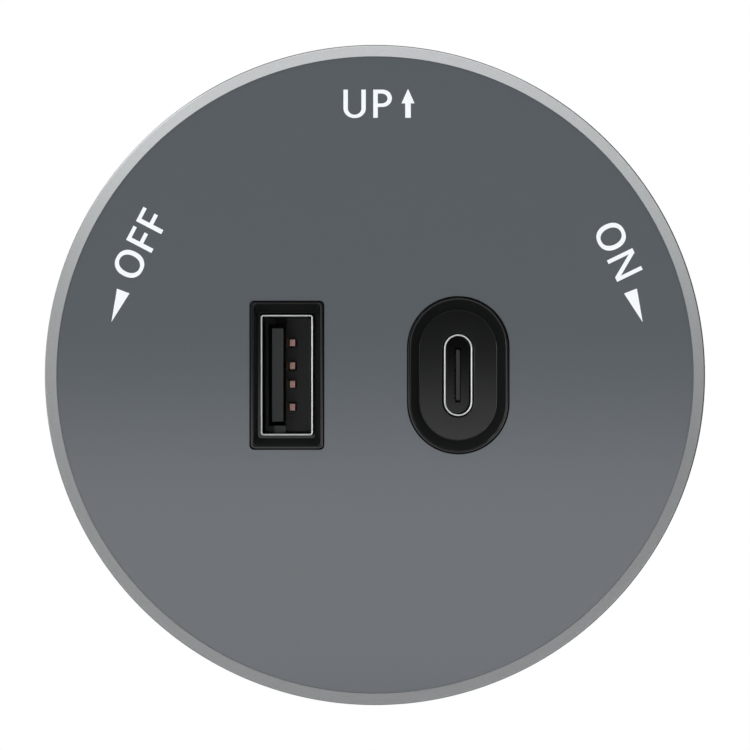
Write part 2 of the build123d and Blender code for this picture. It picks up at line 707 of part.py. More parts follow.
# Moulded chip body with gull legs along its two long sides.
def chip(place, size, z, legs, pitch):
    x, y = place
    wide, long, tall = size
    body = block(x - wide / 2, x + wide / 2, y - long / 2, y + long / 2, z + 0.1, z + tall)
    body = chamfer(top_edges(body), 0.2)
    for i in range(legs):
        leg_y = y + (i - (legs - 1) / 2) * pitch
        for side in (-1, 1):
            body += block(x + side * (wide / 2 - 0.1), x + side * (wide / 2 + 0.7),
                          leg_y - 0.2, leg_y + 0.2, z, z + 0.35)
    return body


def bridge_rectifier():
    return chip(BRIDGE_AT, BRIDGE_SIZE, POWER_TOP_Z, 2, 3.6)


def mains_controller():
    return chip(CONTROLLER_AT, POWER_CHIP_SIZE, POWER_TOP_Z, 4, POWER_CHIP_PITCH)


def output_rectifier():
    return chip(RECTIFIER_AT, POWER_CHIP_SIZE, POWER_TOP_Z, 4, POWER_CHIP_PITCH)


def port_controller():
    return chip(PORT_CHIP_AT, PORT_CHIP_SIZE, USB_TOP_Z, 5, PORT_CHIP_PITCH)


def port_inductor():
    x, y = INDUCTOR_AT
    wide, long, tall = INDUCTOR_SIZE
    body = block(x - wide / 2, x + wide / 2, y - long / 2, y + long / 2, USB_TOP_Z, USB_TOP_Z + tall)
    return chamfer(body.edges().filter_by(Axis.Z), 0.8)


# Pan-head screw with a cross recess: its head sits on seat_z, its tip is at
# tip_z, above or below.
def screw(x, y, seat_z, tip_z, head_r, shank_r):
    out = -1 if tip_z > seat_z else 1
    head_top = seat_z + out * head_r * 0.58
    head = rod(head_r, min(seat_z, head_top), max(seat_z, head_top), x, y)
    crown = head.edges().group_by(Axis.Z)[-1 if out > 0 else 0]
    head = fillet(crown, head_r * 0.3)
    body = head + rod(shank_r, min(seat_z, tip_z), max(seat_z, tip_z), x, y)
    half, arm = 0.11 * head_r, 0.55 * head_r
    z0, z1 = head_top - out * head_r * 0.35, head_top + out * PAST
    cross = block(x - arm, x + arm, y - half, y + half, z0, z1)
    return body - (cross + block(x - half, x + half, y - arm, y + arm, z0, z1))


def cover_screws():
    places = [around(TOWER_CIRCLE_R, a) for a in TOWER_ANGLES]
    return [screw(x, y, COVER_SCREW_SEAT_Z, COVER_SCREW_TIP_Z, COVER_SCREW_HEAD_R, COVER_SCREW_R)
            for x, y in places]


def board_screws():
    places = [around(STANDOFF_CIRCLE_R, a) for a in STANDOFF_ANGLES]
    return [screw(x, y, POWER_TOP_Z, BOARD_SCREW_TIP_Z, BOARD_SCREW_HEAD_R, BOARD_SCREW_R)
            for x, y in places]


def rotor_key(gap):
    """Neck section with two flats, which locks the rotor to the rear cover."""
    flats = KEY_FLAT_X + gap
    key = rod(NECK_R + gap, COVER_FLOOR_Z, COVER_TOP_Z)
    return key & block(-flats, flats, -2 * NECK_R, 2 * NECK_R, COVER_FLOOR_Z, COVER_TOP_Z)


# Rear cover: seats for the long screws, standoffs for the power board, the
# keyed hole for the rotor, the turret for the click ball and the pin's hole.
def rear_cover():
    cover = rod(COVER_R, COVER_RIM_Z, COVER_TOP_Z)
    cover -= rod(COVER_BAND_R, COVER_RIM_Z - PAST, COVER_FLOOR_Z)
    for angle in STANDOFF_ANGLES:
        x, y = around(STANDOFF_CIRCLE_R, angle)
        cover += rod(STANDOFF_R, COVER_TOP_Z, POWER_BOARD_Z, x, y)
        cover -= rod(BOARD_SCREW_R + 0.02, BOARD_SCREW_TIP_Z - 0.4, POWER_BOARD_Z + PAST, x, y)
    for angle in TOWER_ANGLES:
        x, y = around(TOWER_CIRCLE_R, angle)
        cover -= rod(COVER_HEAD_SEAT_R, COVER_RIM_Z - PAST, COVER_SCREW_SEAT_Z, x, y)
        cover -= rod(COVER_SCREW_R + 0.15, COVER_RIM_Z - PAST, COVER_TOP_Z + PAST, x, y)
    x, y = around(STOP_CIRCLE_R, BALL_ANGLE)
    cover += rod(BALL_TURRET_R, COVER_TOP_Z, BALL_TURRET_Z, x, y)
    cover -= rod(BALL_BORE_R, COVER_FLOOR_Z - PAST, BALL_TURRET_Z + PAST, x, y)
    cover -= rod(BALL_PLUG_R + 0.02, BALL_PLUG_Z, BALL_TURRET_Z + PAST, x, y)
    x, y = around(STOP_CIRCLE_R, STOP_PIN_ANGLE)
    cover -= rod(STOP_PIN_R + 0.01, COVER_FLOOR_Z - PAST, COVER_TOP_Z - 0.4, x, y)
    return cover - rotor_key(0.03)


def coil(size, length):
    """Compression spring standing on z = 0, its wire inside that length."""
    radius, wire_r, turns = size
    pitch = (length - 2 * wire_r) / turns
    path = Pos(0, 0, wire_r) * Helix(pitch, pitch * turns, radius - wire_r)
    section = Plane(origin=path @ 0, z_dir=path % 0) * Circle(wire_r)
    return sweep(section, path=path, is_frenet=True)


# Click ball, its spring and the slotted plug that holds the spring in.
def click_ball():
    x, y = around(STOP_CIRCLE_R, BALL_ANGLE)
    return Pos(x, y, BALL_Z) * Sphere(BALL_R)


def click_spring():
    x, y = around(STOP_CIRCLE_R, BALL_ANGLE)
    low = BALL_Z + BALL_R
    return Pos(x, y, low) * coil(BALL_SPRING, BALL_PLUG_Z - low)


def click_plug():
    x, y = around(STOP_CIRCLE_R, BALL_ANGLE)
    plug = rod(BALL_PLUG_R, BALL_PLUG_Z, BALL_TURRET_Z, x, y)
    half_slot, half_wide = 1.2, 0.2
    return plug - block(x - half_slot, x + half_slot, y - half_wide, y + half_wide,
                        BALL_TURRET_Z - 0.4, BALL_TURRET_Z + PAST)


def stop_pin():
    x, y = around(STOP_CIRCLE_R, STOP_PIN_ANGLE)
    return rod(STOP_PIN_R, BASE_THICK - STOP_SLOT_DEPTH + 0.3, COVER_TOP_Z - 0.4, x, y)


def arc_cut(profile, from_deg, to_deg):
    """Groove along the stop circle, from a profile drawn on the x-z plane."""
    return Rot(0, 0, from_deg) * revolve(profile, Axis.Z, to_deg - from_deg)


# Track base: disc that seats on the track, with the key that fills the slot,
# the bore for the rotor, the stop slot and the click groove with its two pits.
def track_base():
    base = rod(BASE_R, 0, BASE_THICK)
    base = chamfer(base.edges().group_by(Axis.Z)[0], BASE_BREAK)
    base += extrude(Pos(0, 0, -KEY_DEPTH) * RectangleRounded(KEY_LENGTH, KEY_WIDTH, KEY_CORNER), KEY_DEPTH)
    base -= rod(NECK_R + RUNNING_GAP, -KEY_DEPTH - PAST, BASE_THICK + PAST)

    slot_r = STOP_PIN_R + STOP_SLOT_GAP
    creep = math.degrees(STOP_SLOT_SPARE / STOP_CIRCLE_R)
    first, last = STOP_PIN_ANGLE + creep, STOP_PIN_ANGLE + TURN_DEG - creep
    low, high = BASE_THICK - STOP_SLOT_DEPTH, BASE_THICK + PAST
    slot = Plane.XZ * Pos(STOP_CIRCLE_R, (low + high) / 2) * Rectangle(2 * slot_r, high - low)
    base -= arc_cut(slot, first, last)
    for angle in (first, last):
        base -= rod(slot_r, low, high, *around(STOP_CIRCLE_R, angle))

    groove = Plane.XZ * Pos(STOP_CIRCLE_R, BASE_THICK - GROOVE_DEPTH + GROOVE_R) * Circle(GROOVE_R)
    base -= arc_cut(groove, BALL_ANGLE, BALL_ANGLE + TURN_DEG)
    for angle in (BALL_ANGLE, BALL_ANGLE + TURN_DEG):
        x, y = around(STOP_CIRCLE_R, angle)
        base -= Pos(x, y, BASE_THICK - PIT_DEPTH + GROOVE_R) * Sphere(GROOVE_R)
    return base


# Slippery washer that the rear cover turns on.
def glide_washer():
    washer = rod(WASHER_R, BASE_THICK, COVER_FLOOR_Z - 0.1)
    return washer - rod(NECK_R + 0.6, BASE_THICK - PAST, COVER_FLOOR_Z + PAST)


def blade_outline(z):
    outline = RectangleRounded(2 * BLADE_HALF_WIDTH, 2 * BLADE_HALF_LENGTH, BLADE_CORNER)
    return Pos(0, 0, z) * outline


def mirrored(make):
    """The piece made for the upper contact, and its twin turned half round."""
    upper = make()
    return upper, Rot(0, 0, 180) * upper


def side_pocket():
    """Room in the blade for one strip, its spring and its contact shoe."""
    half = STRIP_HALF + STRIP_FIT
    in_y = STRIP_NECK_Y - STRIP_THICK / 2 - STRIP_FIT
    out_y = STRIP_SEAT_Y + STRIP_THICK / 2 + STRIP_FIT
    shoe_half = SHOE_HALF + STRIP_FIT
    deep = BLADE_FLOOR_Z - PAST
    pocket = block(-half, half, in_y, in_y + STRIP_THICK + 2 * STRIP_FIT, deep, COVER_TOP_Z + PAST)
    pocket += block(-half, half, in_y, out_y, deep, STRIP_BEND_Z + STRIP_FIT)
    pocket += block(-POCKET_HALF, POCKET_HALF, out_y - 0.01, POCKET_END_Y, deep, POCKET_TOP_Z)
    pocket += block(-shoe_half, shoe_half, POCKET_END_Y - 0.01, BLADE_HALF_LENGTH + PAST,
                    deep, SHOE_TOP_Z + STRIP_FIT)
    return pocket


# Rotor: neck through the base and T-shaped blade behind the track lips, made
# as one moulding with open pockets that a rear lid closes.
def rotor_blade():
    body = extrude(blade_outline(BLADE_FLOOR_Z), BLADE_TOP_Z - BLADE_FLOOR_Z)
    body += rod(NECK_R, BLADE_TOP_Z, COVER_FLOOR_Z)
    body += rotor_key(0.0)
    for pocket in mirrored(side_pocket):
        body -= pocket
    body -= rod(EARTH_POCKET_R, BLADE_FLOOR_Z - PAST, EARTH_SEAT_Z + 0.7)
    half, thick = STRIP_HALF + STRIP_FIT, STRIP_THICK / 2 + STRIP_FIT
    body -= block(-half, half, -thick, thick, EARTH_SEAT_Z, COVER_TOP_Z + PAST)
    for side in (-1, 1):
        body -= rod(CLAMP_SCREW_R + 0.02, CLAMP_SCREW_TIP_Z - 0.2, COVER_TOP_Z + PAST, side * CLAMP_SCREW_X, 0)
        body -= rod(BLADE_SCREW_R + 0.02, BLADE_FLOOR_Z - PAST, BLADE_FLOOR_Z + BLADE_SCREW_LENGTH + 0.2,
                    side * BLADE_SCREW_X, 0)
    return body


def blade_lid():
    lid = extrude(blade_outline(BLADE_END_Z), BLADE_FLOOR_Z - BLADE_END_Z)
    lid = chamfer(lid.edges().group_by(Axis.Z)[0], 0.5)
    low, high = BLADE_END_Z - PAST, BLADE_FLOOR_Z + PAST
    lid -= rod(EARTH_PIN_R + RUNNING_GAP, low, high)
    for side in (-1, 1):
        lid -= rod(BLADE_SCREW_R + 0.05, low, high, side * BLADE_SCREW_X, 0)
        lid -= rod(BLADE_SCREW_HEAD_R + 0.05, low, BLADE_SCREW_SEAT_Z, side * BLADE_SCREW_X, 0)
    return lid


def blade_screws():
    tip_z = BLADE_FLOOR_Z + BLADE_SCREW_LENGTH
    return [screw(side * BLADE_SCREW_X, 0, BLADE_SCREW_SEAT_Z, tip_z, BLADE_SCREW_HEAD_R, BLADE_SCREW_R)
            for side in (-1, 1)]


# Clamp plate inside the head that holds the rotor to the rear cover.
def rotor_clamp():
    plate = rod(CLAMP_R, COVER_TOP_Z, CLAMP_TOP_Z)
    low, high = COVER_TOP_Z - PAST, CLAMP_TOP_Z + PAST
    half_wide, half_thick = STRIP_HALF + 0.25, STRIP_THICK / 2 + 0.2
    for y in (-STRIP_NECK_Y, 0.0, STRIP_NECK_Y):
        plate -= block(-half_wide, half_wide, y - half_thick, y + half_thick, low, high)
    for side in (-1, 1):
        plate -= rod(CLAMP_SCREW_R + 0.1, low, high, side * CLAMP_SCREW_X, 0)
    return plate


def clamp_screws():
    return [screw(side * CLAMP_SCREW_X, 0, CLAMP_TOP_Z, CLAMP_SCREW_TIP_Z, CLAMP_SCREW_HEAD_R, CLAMP_SCREW_R)
            for side in (-1, 1)]


# Brass strip from a contact spring up the neck to the power board.
def side_strip():
    low = BLADE_FLOOR_Z + 0.3
    neck_in, neck_out = STRIP_NECK_Y - STRIP_THICK / 2, STRIP_NECK_Y + STRIP_THICK / 2
    seat_out = STRIP_SEAT_Y + STRIP_THICK / 2
    step_z = STRIP_BEND_Z - STRIP_THICK
    strip = block(-STRIP_HALF, STRIP_HALF, seat_out - STRIP_THICK, seat_out, low, STRIP_BEND_Z)
    strip += block(-STRIP_HALF, STRIP_HALF, neck_in, seat_out, step_z, STRIP_BEND_Z)
    return strip + block(-STRIP_HALF, STRIP_HALF, neck_in, neck_out, step_z, STRIP_TIP_Z)


def earth_strip():
    strip = rod(EARTH_POCKET_R - 0.1, EARTH_SEAT_Z, EARTH_SEAT_Z + 0.6)
    half = STRIP_THICK / 2
    return strip + block(-STRIP_HALF, STRIP_HALF, -half, half, EARTH_SEAT_Z + 0.3, STRIP_TIP_Z)


# Sprung shoe at the blade's end: a rounded nose and a flange that keeps it in.
def end_shoe():
    tip_y = BLADE_HALF_LENGTH + CONTACT_PROUD
    shoe = block(-SHOE_HALF, SHOE_HALF, SHOE_FLANGE_Y[0], tip_y, SHOE_LOW_Z, SHOE_TOP_Z)
    shoe = fillet(shoe.edges().group_by(Axis.Y)[-1], SHOE_ROUND)
    flange_half = POCKET_HALF - 0.1
    return shoe + block(-flange_half, flange_half, *SHOE_FLANGE_Y, SHOE_LOW_Z, POCKET_TOP_Z - 0.1)


def end_spring():
    middle_z = (SHOE_LOW_Z + POCKET_TOP_Z) / 2
    low = STRIP_SEAT_Y + STRIP_THICK / 2
    return Pos(0, low, middle_z) * Rot(-90, 0, 0) * coil(END_SPRING, SHOE_FLANGE_Y[0] - low)


# Sprung earth pin that stands out behind the blade.
def earth_pin():
    flange_top = BLADE_FLOOR_Z + EARTH_FLANGE
    pin = rod(EARTH_PIN_R, BLADE_END_Z - CONTACT_PROUD, flange_top)
    pin = fillet(pin.edges().group_by(Axis.Z)[0], EARTH_PIN_ROUND)
    return pin + rod(EARTH_POCKET_R - 0.1, BLADE_FLOOR_Z, flange_top)


def earth_spring():
    low = BLADE_FLOOR_Z + EARTH_FLANGE
    return Pos(0, 0, low) * coil(EARTH_SPRING, EARTH_SEAT_Z - low)


PIECES = (
    head_ring, face_plate, front_carrier,
    usb_a_bezel, usb_a_shell, usb_a_tongue, usb_a_contacts,
    usb_c_bezel, usb_c_shell, usb_c_tongue, usb_c_contacts, usb_c_pedestal,
    usb_board, port_controller, port_inductor, board_spacers, header_strip, header_pins,
    power_board, transformer_core, transformer_bobbin, transformer_winding,
    input_capacitors, output_capacitors, fuse, varistor, safety_capacitor,
    choke_core, choke_winding, bridge_rectifier, mains_controller, output_rectifier,
    rear_cover, cover_screws, board_screws, click_ball, click_spring, click_plug, stop_pin,
    track_base, glide_washer, rotor_blade, blade_lid, blade_screws, rotor_clamp, clamp_screws,
    earth_strip, earth_pin, earth_spring,
)


def main():
    os.makedirs("parts", exist_ok=True)
    for make in PIECES:
        save(make.__name__, make())
    for kind, make in (("strip", side_strip), ("contact", end_shoe), ("spring", end_spring)):
        upper, lower = mirrored(make)
        save(f"live_{kind}", upper)
        save(f"neutral_{kind}", lower)


main()
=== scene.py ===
import json
import math

import bpy
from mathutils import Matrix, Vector


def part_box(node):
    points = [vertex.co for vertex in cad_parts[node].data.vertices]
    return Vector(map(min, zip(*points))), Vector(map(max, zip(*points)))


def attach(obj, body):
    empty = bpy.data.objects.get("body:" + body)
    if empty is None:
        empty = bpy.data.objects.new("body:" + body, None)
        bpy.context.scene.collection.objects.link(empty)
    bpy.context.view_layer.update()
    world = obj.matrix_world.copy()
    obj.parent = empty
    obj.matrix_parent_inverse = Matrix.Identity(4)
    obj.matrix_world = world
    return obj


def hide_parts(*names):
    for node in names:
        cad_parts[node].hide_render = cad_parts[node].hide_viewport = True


# Looks of a round twist-lock adapter for a wall power track, with a USB-A and a
# USB-C outlet in its face. The face looks along -Y and its UP mark points to +Z.
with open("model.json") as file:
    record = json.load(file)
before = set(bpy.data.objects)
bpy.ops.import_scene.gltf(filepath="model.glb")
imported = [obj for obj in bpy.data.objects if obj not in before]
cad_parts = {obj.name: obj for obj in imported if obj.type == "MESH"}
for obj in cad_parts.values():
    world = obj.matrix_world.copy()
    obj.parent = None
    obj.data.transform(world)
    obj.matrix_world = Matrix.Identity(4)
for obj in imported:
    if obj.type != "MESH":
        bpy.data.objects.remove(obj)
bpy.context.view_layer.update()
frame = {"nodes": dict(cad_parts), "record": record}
nodes = frame["nodes"]

# The object's sizes are in millimetres here, and become metres where they meet
# Blender. A level is a distance from the wall's side towards the user, along -Y.
MM = 0.001


def front_of(node):
    """Level of a node's front."""
    return -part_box(node)[0].y / MM


def back_of(node):
    """Level of a node's back."""
    return -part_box(node)[1].y / MM


def middle_of(node):
    """How far to the right a node's middle is."""
    low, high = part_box(node)
    return (low.x + high.x) / 2 / MM


def half_width_of(node):
    """Half of a node's width, which is its radius where it is round."""
    low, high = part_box(node)
    return (high.x - low.x) / 2 / MM


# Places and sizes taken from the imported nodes
HEAD_R = half_width_of("head_ring")
RIM_Z = front_of("head_ring")
FACE_Z = front_of("face_plate")
PLATE_BACK_Z = back_of("face_plate")
BEZEL_Z = front_of("usb_a_bezel")
BEZEL_BACK_Z = back_of("usb_a_bezel")
SHELL_A_Z = front_of("usb_a_shell")
SHELL_C_Z = front_of("usb_c_shell")
BOARD_TOP_Z = front_of("usb_board")
PORT_A_X = middle_of("usb_a_shell")
PORT_C_X = middle_of("usb_c_shell")


def deselect():
    if bpy.context.mode != "OBJECT":
        bpy.ops.object.mode_set(mode="OBJECT")
    bpy.ops.object.select_all(action="DESELECT")


def select_only(obj):
    deselect()
    obj.select_set(True)
    bpy.context.view_layer.objects.active = obj


def linear(code):
    """A colour written as sRGB hex, as the linear values that shaders take."""
    values = [int(code[i:i + 2], 16) / 255 for i in (1, 3, 5)]
    return [v / 12.92 if v <= 0.04045 else ((v + 0.055) / 1.055) ** 2.4 for v in values] + [1.0]


def add_node(tree, kind, settings=None, values=None, links=None):
    """One node: its options, the values of its sockets, and what its sockets are linked to."""
    made = tree.nodes.new(kind)
    for name, value in (settings or {}).items():
        setattr(made, name, value)
    for name, value in (values or {}).items():
        made.inputs[name].default_value = value
    for name, source in (links or {}).items():
        tree.links.new(source, made.inputs[name])
    return made


def new_material(name, colour, **sockets):
    """A Principled material with its main colour; returns it with its tree and shader."""
    material = bpy.data.materials.new(name)
    material.use_nodes = True
    tree = material.node_tree
    shader = tree.nodes["Principled BSDF"]
    shader.inputs["Base Color"].default_value = linear(colour)
    for socket, value in sockets.items():
        shader.inputs[socket.replace("_", " ")].default_value = value
    return material, tree, shader


# Nearly all of a noise node's values lie between these
NOISE_LOW, NOISE_HIGH = 0.3, 0.7

# Patches of more and less gloss: how far apart, and how much the roughness drifts
PATCH_MM = 3.5
GLOSS_DRIFT = 0.07

# The levels between which painted light and shade may change a colour with depth,
# from in front of both shells to just behind their board's top
DEPTH_FROM = 32.0
DEPTH_TO = 18.0


def grain(tree, shader, size_mm, depth_mm, detail=2.0):
    """Fine relief: how far apart its bumps are and how deep, both in millimetres."""
    place = add_node(tree, "ShaderNodeTexCoord")
    noise = add_node(tree, "ShaderNodeTexNoise", values={"Scale": 1 / (size_mm * MM), "Detail": detail},
                     links={"Vector": place.outputs["Object"]})
    bump = add_node(tree, "ShaderNodeBump", values={"Strength": 1.0, "Distance": depth_mm * MM},
                    links={"Height": noise.outputs["Fac"]})
    tree.links.new(bump.outputs["Normal"], shader.inputs["Normal"])
    return noise


def uneven_gloss(tree, shader, roughness):
    """Roughness that drifts a little over a few millimetres, as handling and moulding leave it."""
    place = add_node(tree, "ShaderNodeTexCoord")
    noise = add_node(tree, "ShaderNodeTexNoise", values={"Scale": 1 / (PATCH_MM * MM), "Detail": 3.0},
                     links={"Vector": place.outputs["Object"]})
    gloss = add_node(tree, "ShaderNodeMapRange",
                     values={"From Min": NOISE_LOW, "From Max": NOISE_HIGH,
                             "To Min": roughness - GLOSS_DRIFT, "To Max": roughness + GLOSS_DRIFT},
                     links={"Value": noise.outputs["Fac"]})
    tree.links.new(gloss.outputs[0], shader.inputs["Roughness"])


def depth_behind_face(tree):
    """Depth as the node's Y, which grows from the face into the object."""
    place = add_node(tree, "ShaderNodeTexCoord")
    return add_node(tree, "ShaderNodeSeparateXYZ", links={"Vector": place.outputs["Object"]}).outputs["Y"]


def paint_light_and_shade_by_depth(tree, shader, stops):
    """Base colour that changes with depth, from levels, front first, and the colour at each, as painted
    light and shade.
    """
    share = add_node(tree, "ShaderNodeMapRange",
                     values={"From Min": -DEPTH_FROM * MM, "From Max": -DEPTH_TO * MM},
                     links={"Value": depth_behind_face(tree)})
    ramp = add_node(tree, "ShaderNodeValToRGB", links={"Fac": share.outputs[0]})
    for _ in stops[2:]:
        ramp.color_ramp.elements.new(0.5)
    for element, (level, code) in zip(ramp.color_ramp.elements, stops):
        element.position = (DEPTH_FROM - level) / (DEPTH_FROM - DEPTH_TO)
        element.color = linear(code)
    tree.links.new(ramp.outputs["Color"], shader.inputs["Base Color"])


def roughness_by_depth(tree, shader, front_z, deep_z, front_value, deep_value):
    """Roughness that changes between two levels."""
    rough = add_node(tree, "ShaderNodeMapRange",
                     values={"From Min": -front_z * MM, "From Max": -deep_z * MM,
                             "To Min": front_value, "To Max": deep_value},
                     links={"Value": depth_behind_face(tree)})
    tree.links.new(rough.outputs[0], shader.inputs["Roughness"])


def blasted_aluminium():
    """Bead-blasted and anodised: mid-grey metal with a fine even grit, smoother on the rim's outer edge.

    The grit is drawn 0.16 mm apart, about twice as coarse as it is, so that it
    shows. The oxide layer keeps the metal from turning white where it is seen edge on.
    """
    material, tree, shader = new_material("blasted_aluminium", "#939597", Metallic=1.0,
                                          Specular_Tint=(0.15, 0.15, 0.15, 1.0))
    noise = grain(tree, shader, 0.16, 0.006, 3.0)
    speckle = add_node(tree, "ShaderNodeValToRGB", links={"Fac": noise.outputs["Fac"]})
    stops = ((NOISE_LOW, "#8f9193"), (NOISE_HIGH, "#979999"))
    for element, (position, code) in zip(speckle.color_ramp.elements, stops):
        element.position = position
        element.color = linear(code)
    tree.links.new(speckle.outputs["Color"], shader.inputs["Base Color"])

    # The rim's outer edge is what lies outside a radius and in front of a level
    edge_r = (HEAD_R - 0.19, HEAD_R - 0.13)
    edge_z = (RIM_Z - 1.75, RIM_Z - 1.6)
    place = add_node(tree, "ShaderNodeTexCoord")
    across = add_node(tree, "ShaderNodeVectorMath", {"operation": "MULTIPLY"}, {1: (1.0, 0.0, 1.0)},
                      {0: place.outputs["Object"]})
    radius = add_node(tree, "ShaderNodeVectorMath", {"operation": "LENGTH"},
                      links={0: across.outputs["Vector"]})
    outside = add_node(tree, "ShaderNodeMapRange",
                       values={"From Min": edge_r[0] * MM, "From Max": edge_r[1] * MM},
                       links={"Value": radius.outputs["Value"]})
    forward = add_node(tree, "ShaderNodeMapRange",
                       values={"From Min": -edge_z[0] * MM, "From Max": -edge_z[1] * MM},
                       links={"Value": depth_behind_face(tree)})
    edge = add_node(tree, "ShaderNodeMath", {"operation": "MULTIPLY"},
                    links={0: outside.outputs[0], 1: forward.outputs[0]})
    roughness = add_node(tree, "ShaderNodeMapRange", values={"To Min": 0.5, "To Max": 0.2},
                         links={"Value": edge.outputs[0]})
    tree.links.new(roughness.outputs[0], shader.inputs["Roughness"])
    return material


def satin_graphite_lacquer():
    """Sprayed graphite lacquer: even and smooth, with waves too shallow to break its soft reflection."""
    material, tree, shader = new_material("satin_graphite_lacquer", "#595e63", Roughness=0.07,
                                          Specular_IOR_Level=0.44)
    grain(tree, shader, 1.2, 0.00002, 1.0)
    return material


def painted_shade_opening_walls():
    """Dull near-black on the walls of the plate's openings, as painted shade in the gaps round the
    surrounds.
    """
    material, tree, shader = new_material("painted_shade_opening_walls", "#1c1c1d", Roughness=0.7,
                                          Specular_IOR_Level=0.1)
    grain(tree, shader, 0.1, 0.002)
    return material


def polished_black_abs():
    """Moulded black ABS with a polished rim and floor, which mirror the light in front of them."""
    material, tree, shader = new_material("polished_black_abs", "#090a0a", Roughness=0.08)
    grain(tree, shader, 2.0, 0.00002, 0.0)
    return material


def satin_black_abs():
    """The same ABS where the tool leaves it satin: steep walls, which take up nearly all light."""
    material, tree, shader = new_material("satin_black_abs", "#161717", Roughness=0.6,
                                          Specular_IOR_Level=0.06)
    grain(tree, shader, 0.08, 0.0008)
    return material


def charcoal_pbt():
    """Moulded USB-A insulator: dull charcoal fronts, black along its sides as painted shade, greyer on the
    far floor as painted light.
    """
    material, tree, shader = new_material("charcoal_pbt", "#353637", Specular_IOR_Level=0.12)
    grain(tree, shader, 0.1, 0.001)
    # Painted shade turns the sides black behind the fronts, and painted light makes the far floor grey
    paint_light_and_shade_by_depth(tree, shader, [(30.64, "#353637"), (30.58, "#0a0a0b"),
                                   (21.3, "#0a0a0b"), (21.0, "#757677")])
    roughness_by_depth(tree, shader, 30.64, 30.58, 0.5, 0.1)
    return material


def charcoal_lcp():
    """Moulded USB-C insulator: dull charcoal at the tongue's tip, glossy behind it, and black there as
    painted shade.
    """
    material, tree, shader = new_material("charcoal_lcp", "#2a2b2c", Specular_IOR_Level=0.45)
    grain(tree, shader, 0.1, 0.0002)
    # Painted shade: black behind the tongue's tip
    paint_light_and_shade_by_depth(tree, shader, [(30.46, "#2a2b2c"), (30.42, "#080808")])
    roughness_by_depth(tree, shader, 30.46, 30.42, 0.6, 0.05)
    return material


def nickel_plated_steel():
    """Folded and plated sheet: a bright, smoother lip, and a rougher tube behind it that painted shade
    makes darker.
    """
    material, tree, shader = new_material("nickel_plated_steel", "#e9ebed", Metallic=0.5)
    grain(tree, shader, 0.2, 0.0002, 1.0)
    # Painted shade: darker deeper in the tube
    paint_light_and_shade_by_depth(tree, shader, [(31.25, "#e9ebed"), (30.9, "#8a8c8e")])
    roughness_by_depth(tree, shader, 31.25, 30.9, 0.28, 0.5)
    return material


def plated_copper():
    """Stamped and plated copper spring: bright at its tip, with painted shade making it brown lower down
    and dark at its fold.
    """
    material, tree, shader = new_material("plated_copper", "#b6948a", Metallic=0.5, Roughness=0.45)
    grain(tree, shader, 0.12, 0.002)
    # Painted shade: brown lower down and nearly black at the fold
    paint_light_and_shade_by_depth(tree, shader, [(29.2, "#b6948a"), (28.4, "#6a5349"),
                                   (26.5, "#5c483f"), (25.5, "#0a0807")])
    return material


def gold_flashed_copper():
    """Copper alloy with a flash of gold, with painted shade making it nearly black where it lies inside
    the oval port.
    """
    material, tree, shader = new_material("gold_flashed_copper", "#a37c3e", Metallic=1.0)
    grain(tree, shader, 0.15, 0.002)
    uneven_gloss(tree, shader, 0.36)
    # Painted shade: nearly black towards the face, gold further back
    paint_light_and_shade_by_depth(tree, shader, [(26.0, "#120e08"), (18.5, "#a37c3e")])
    return material


def pad_printed_ink():
    """White ink printed with a pad: flat, opaque and even, with a dull surface."""
    material, tree, shader = new_material("pad_printed_ink", "#f5f8fc", Roughness=0.5)
    grain(tree, shader, 0.12, 0.0006)
    return material


def plain_metal(name, colour, roughness):
    """Metal of one colour with a fine grain and an uneven gloss."""
    material, tree, shader = new_material(name, colour, Metallic=1.0)
    grain(tree, shader, 0.15, 0.002)
    uneven_gloss(tree, shader, roughness)
    return material


def plain_plastic(name, colour, roughness, size_mm=0.15, depth_mm=0.003):
    """Plastic, resin or ceramic of one colour, with its grain's spacing and depth and an uneven gloss."""
    material, tree, shader = new_material(name, colour)
    grain(tree, shader, size_mm, depth_mm)
    uneven_gloss(tree, shader, roughness)
    return material


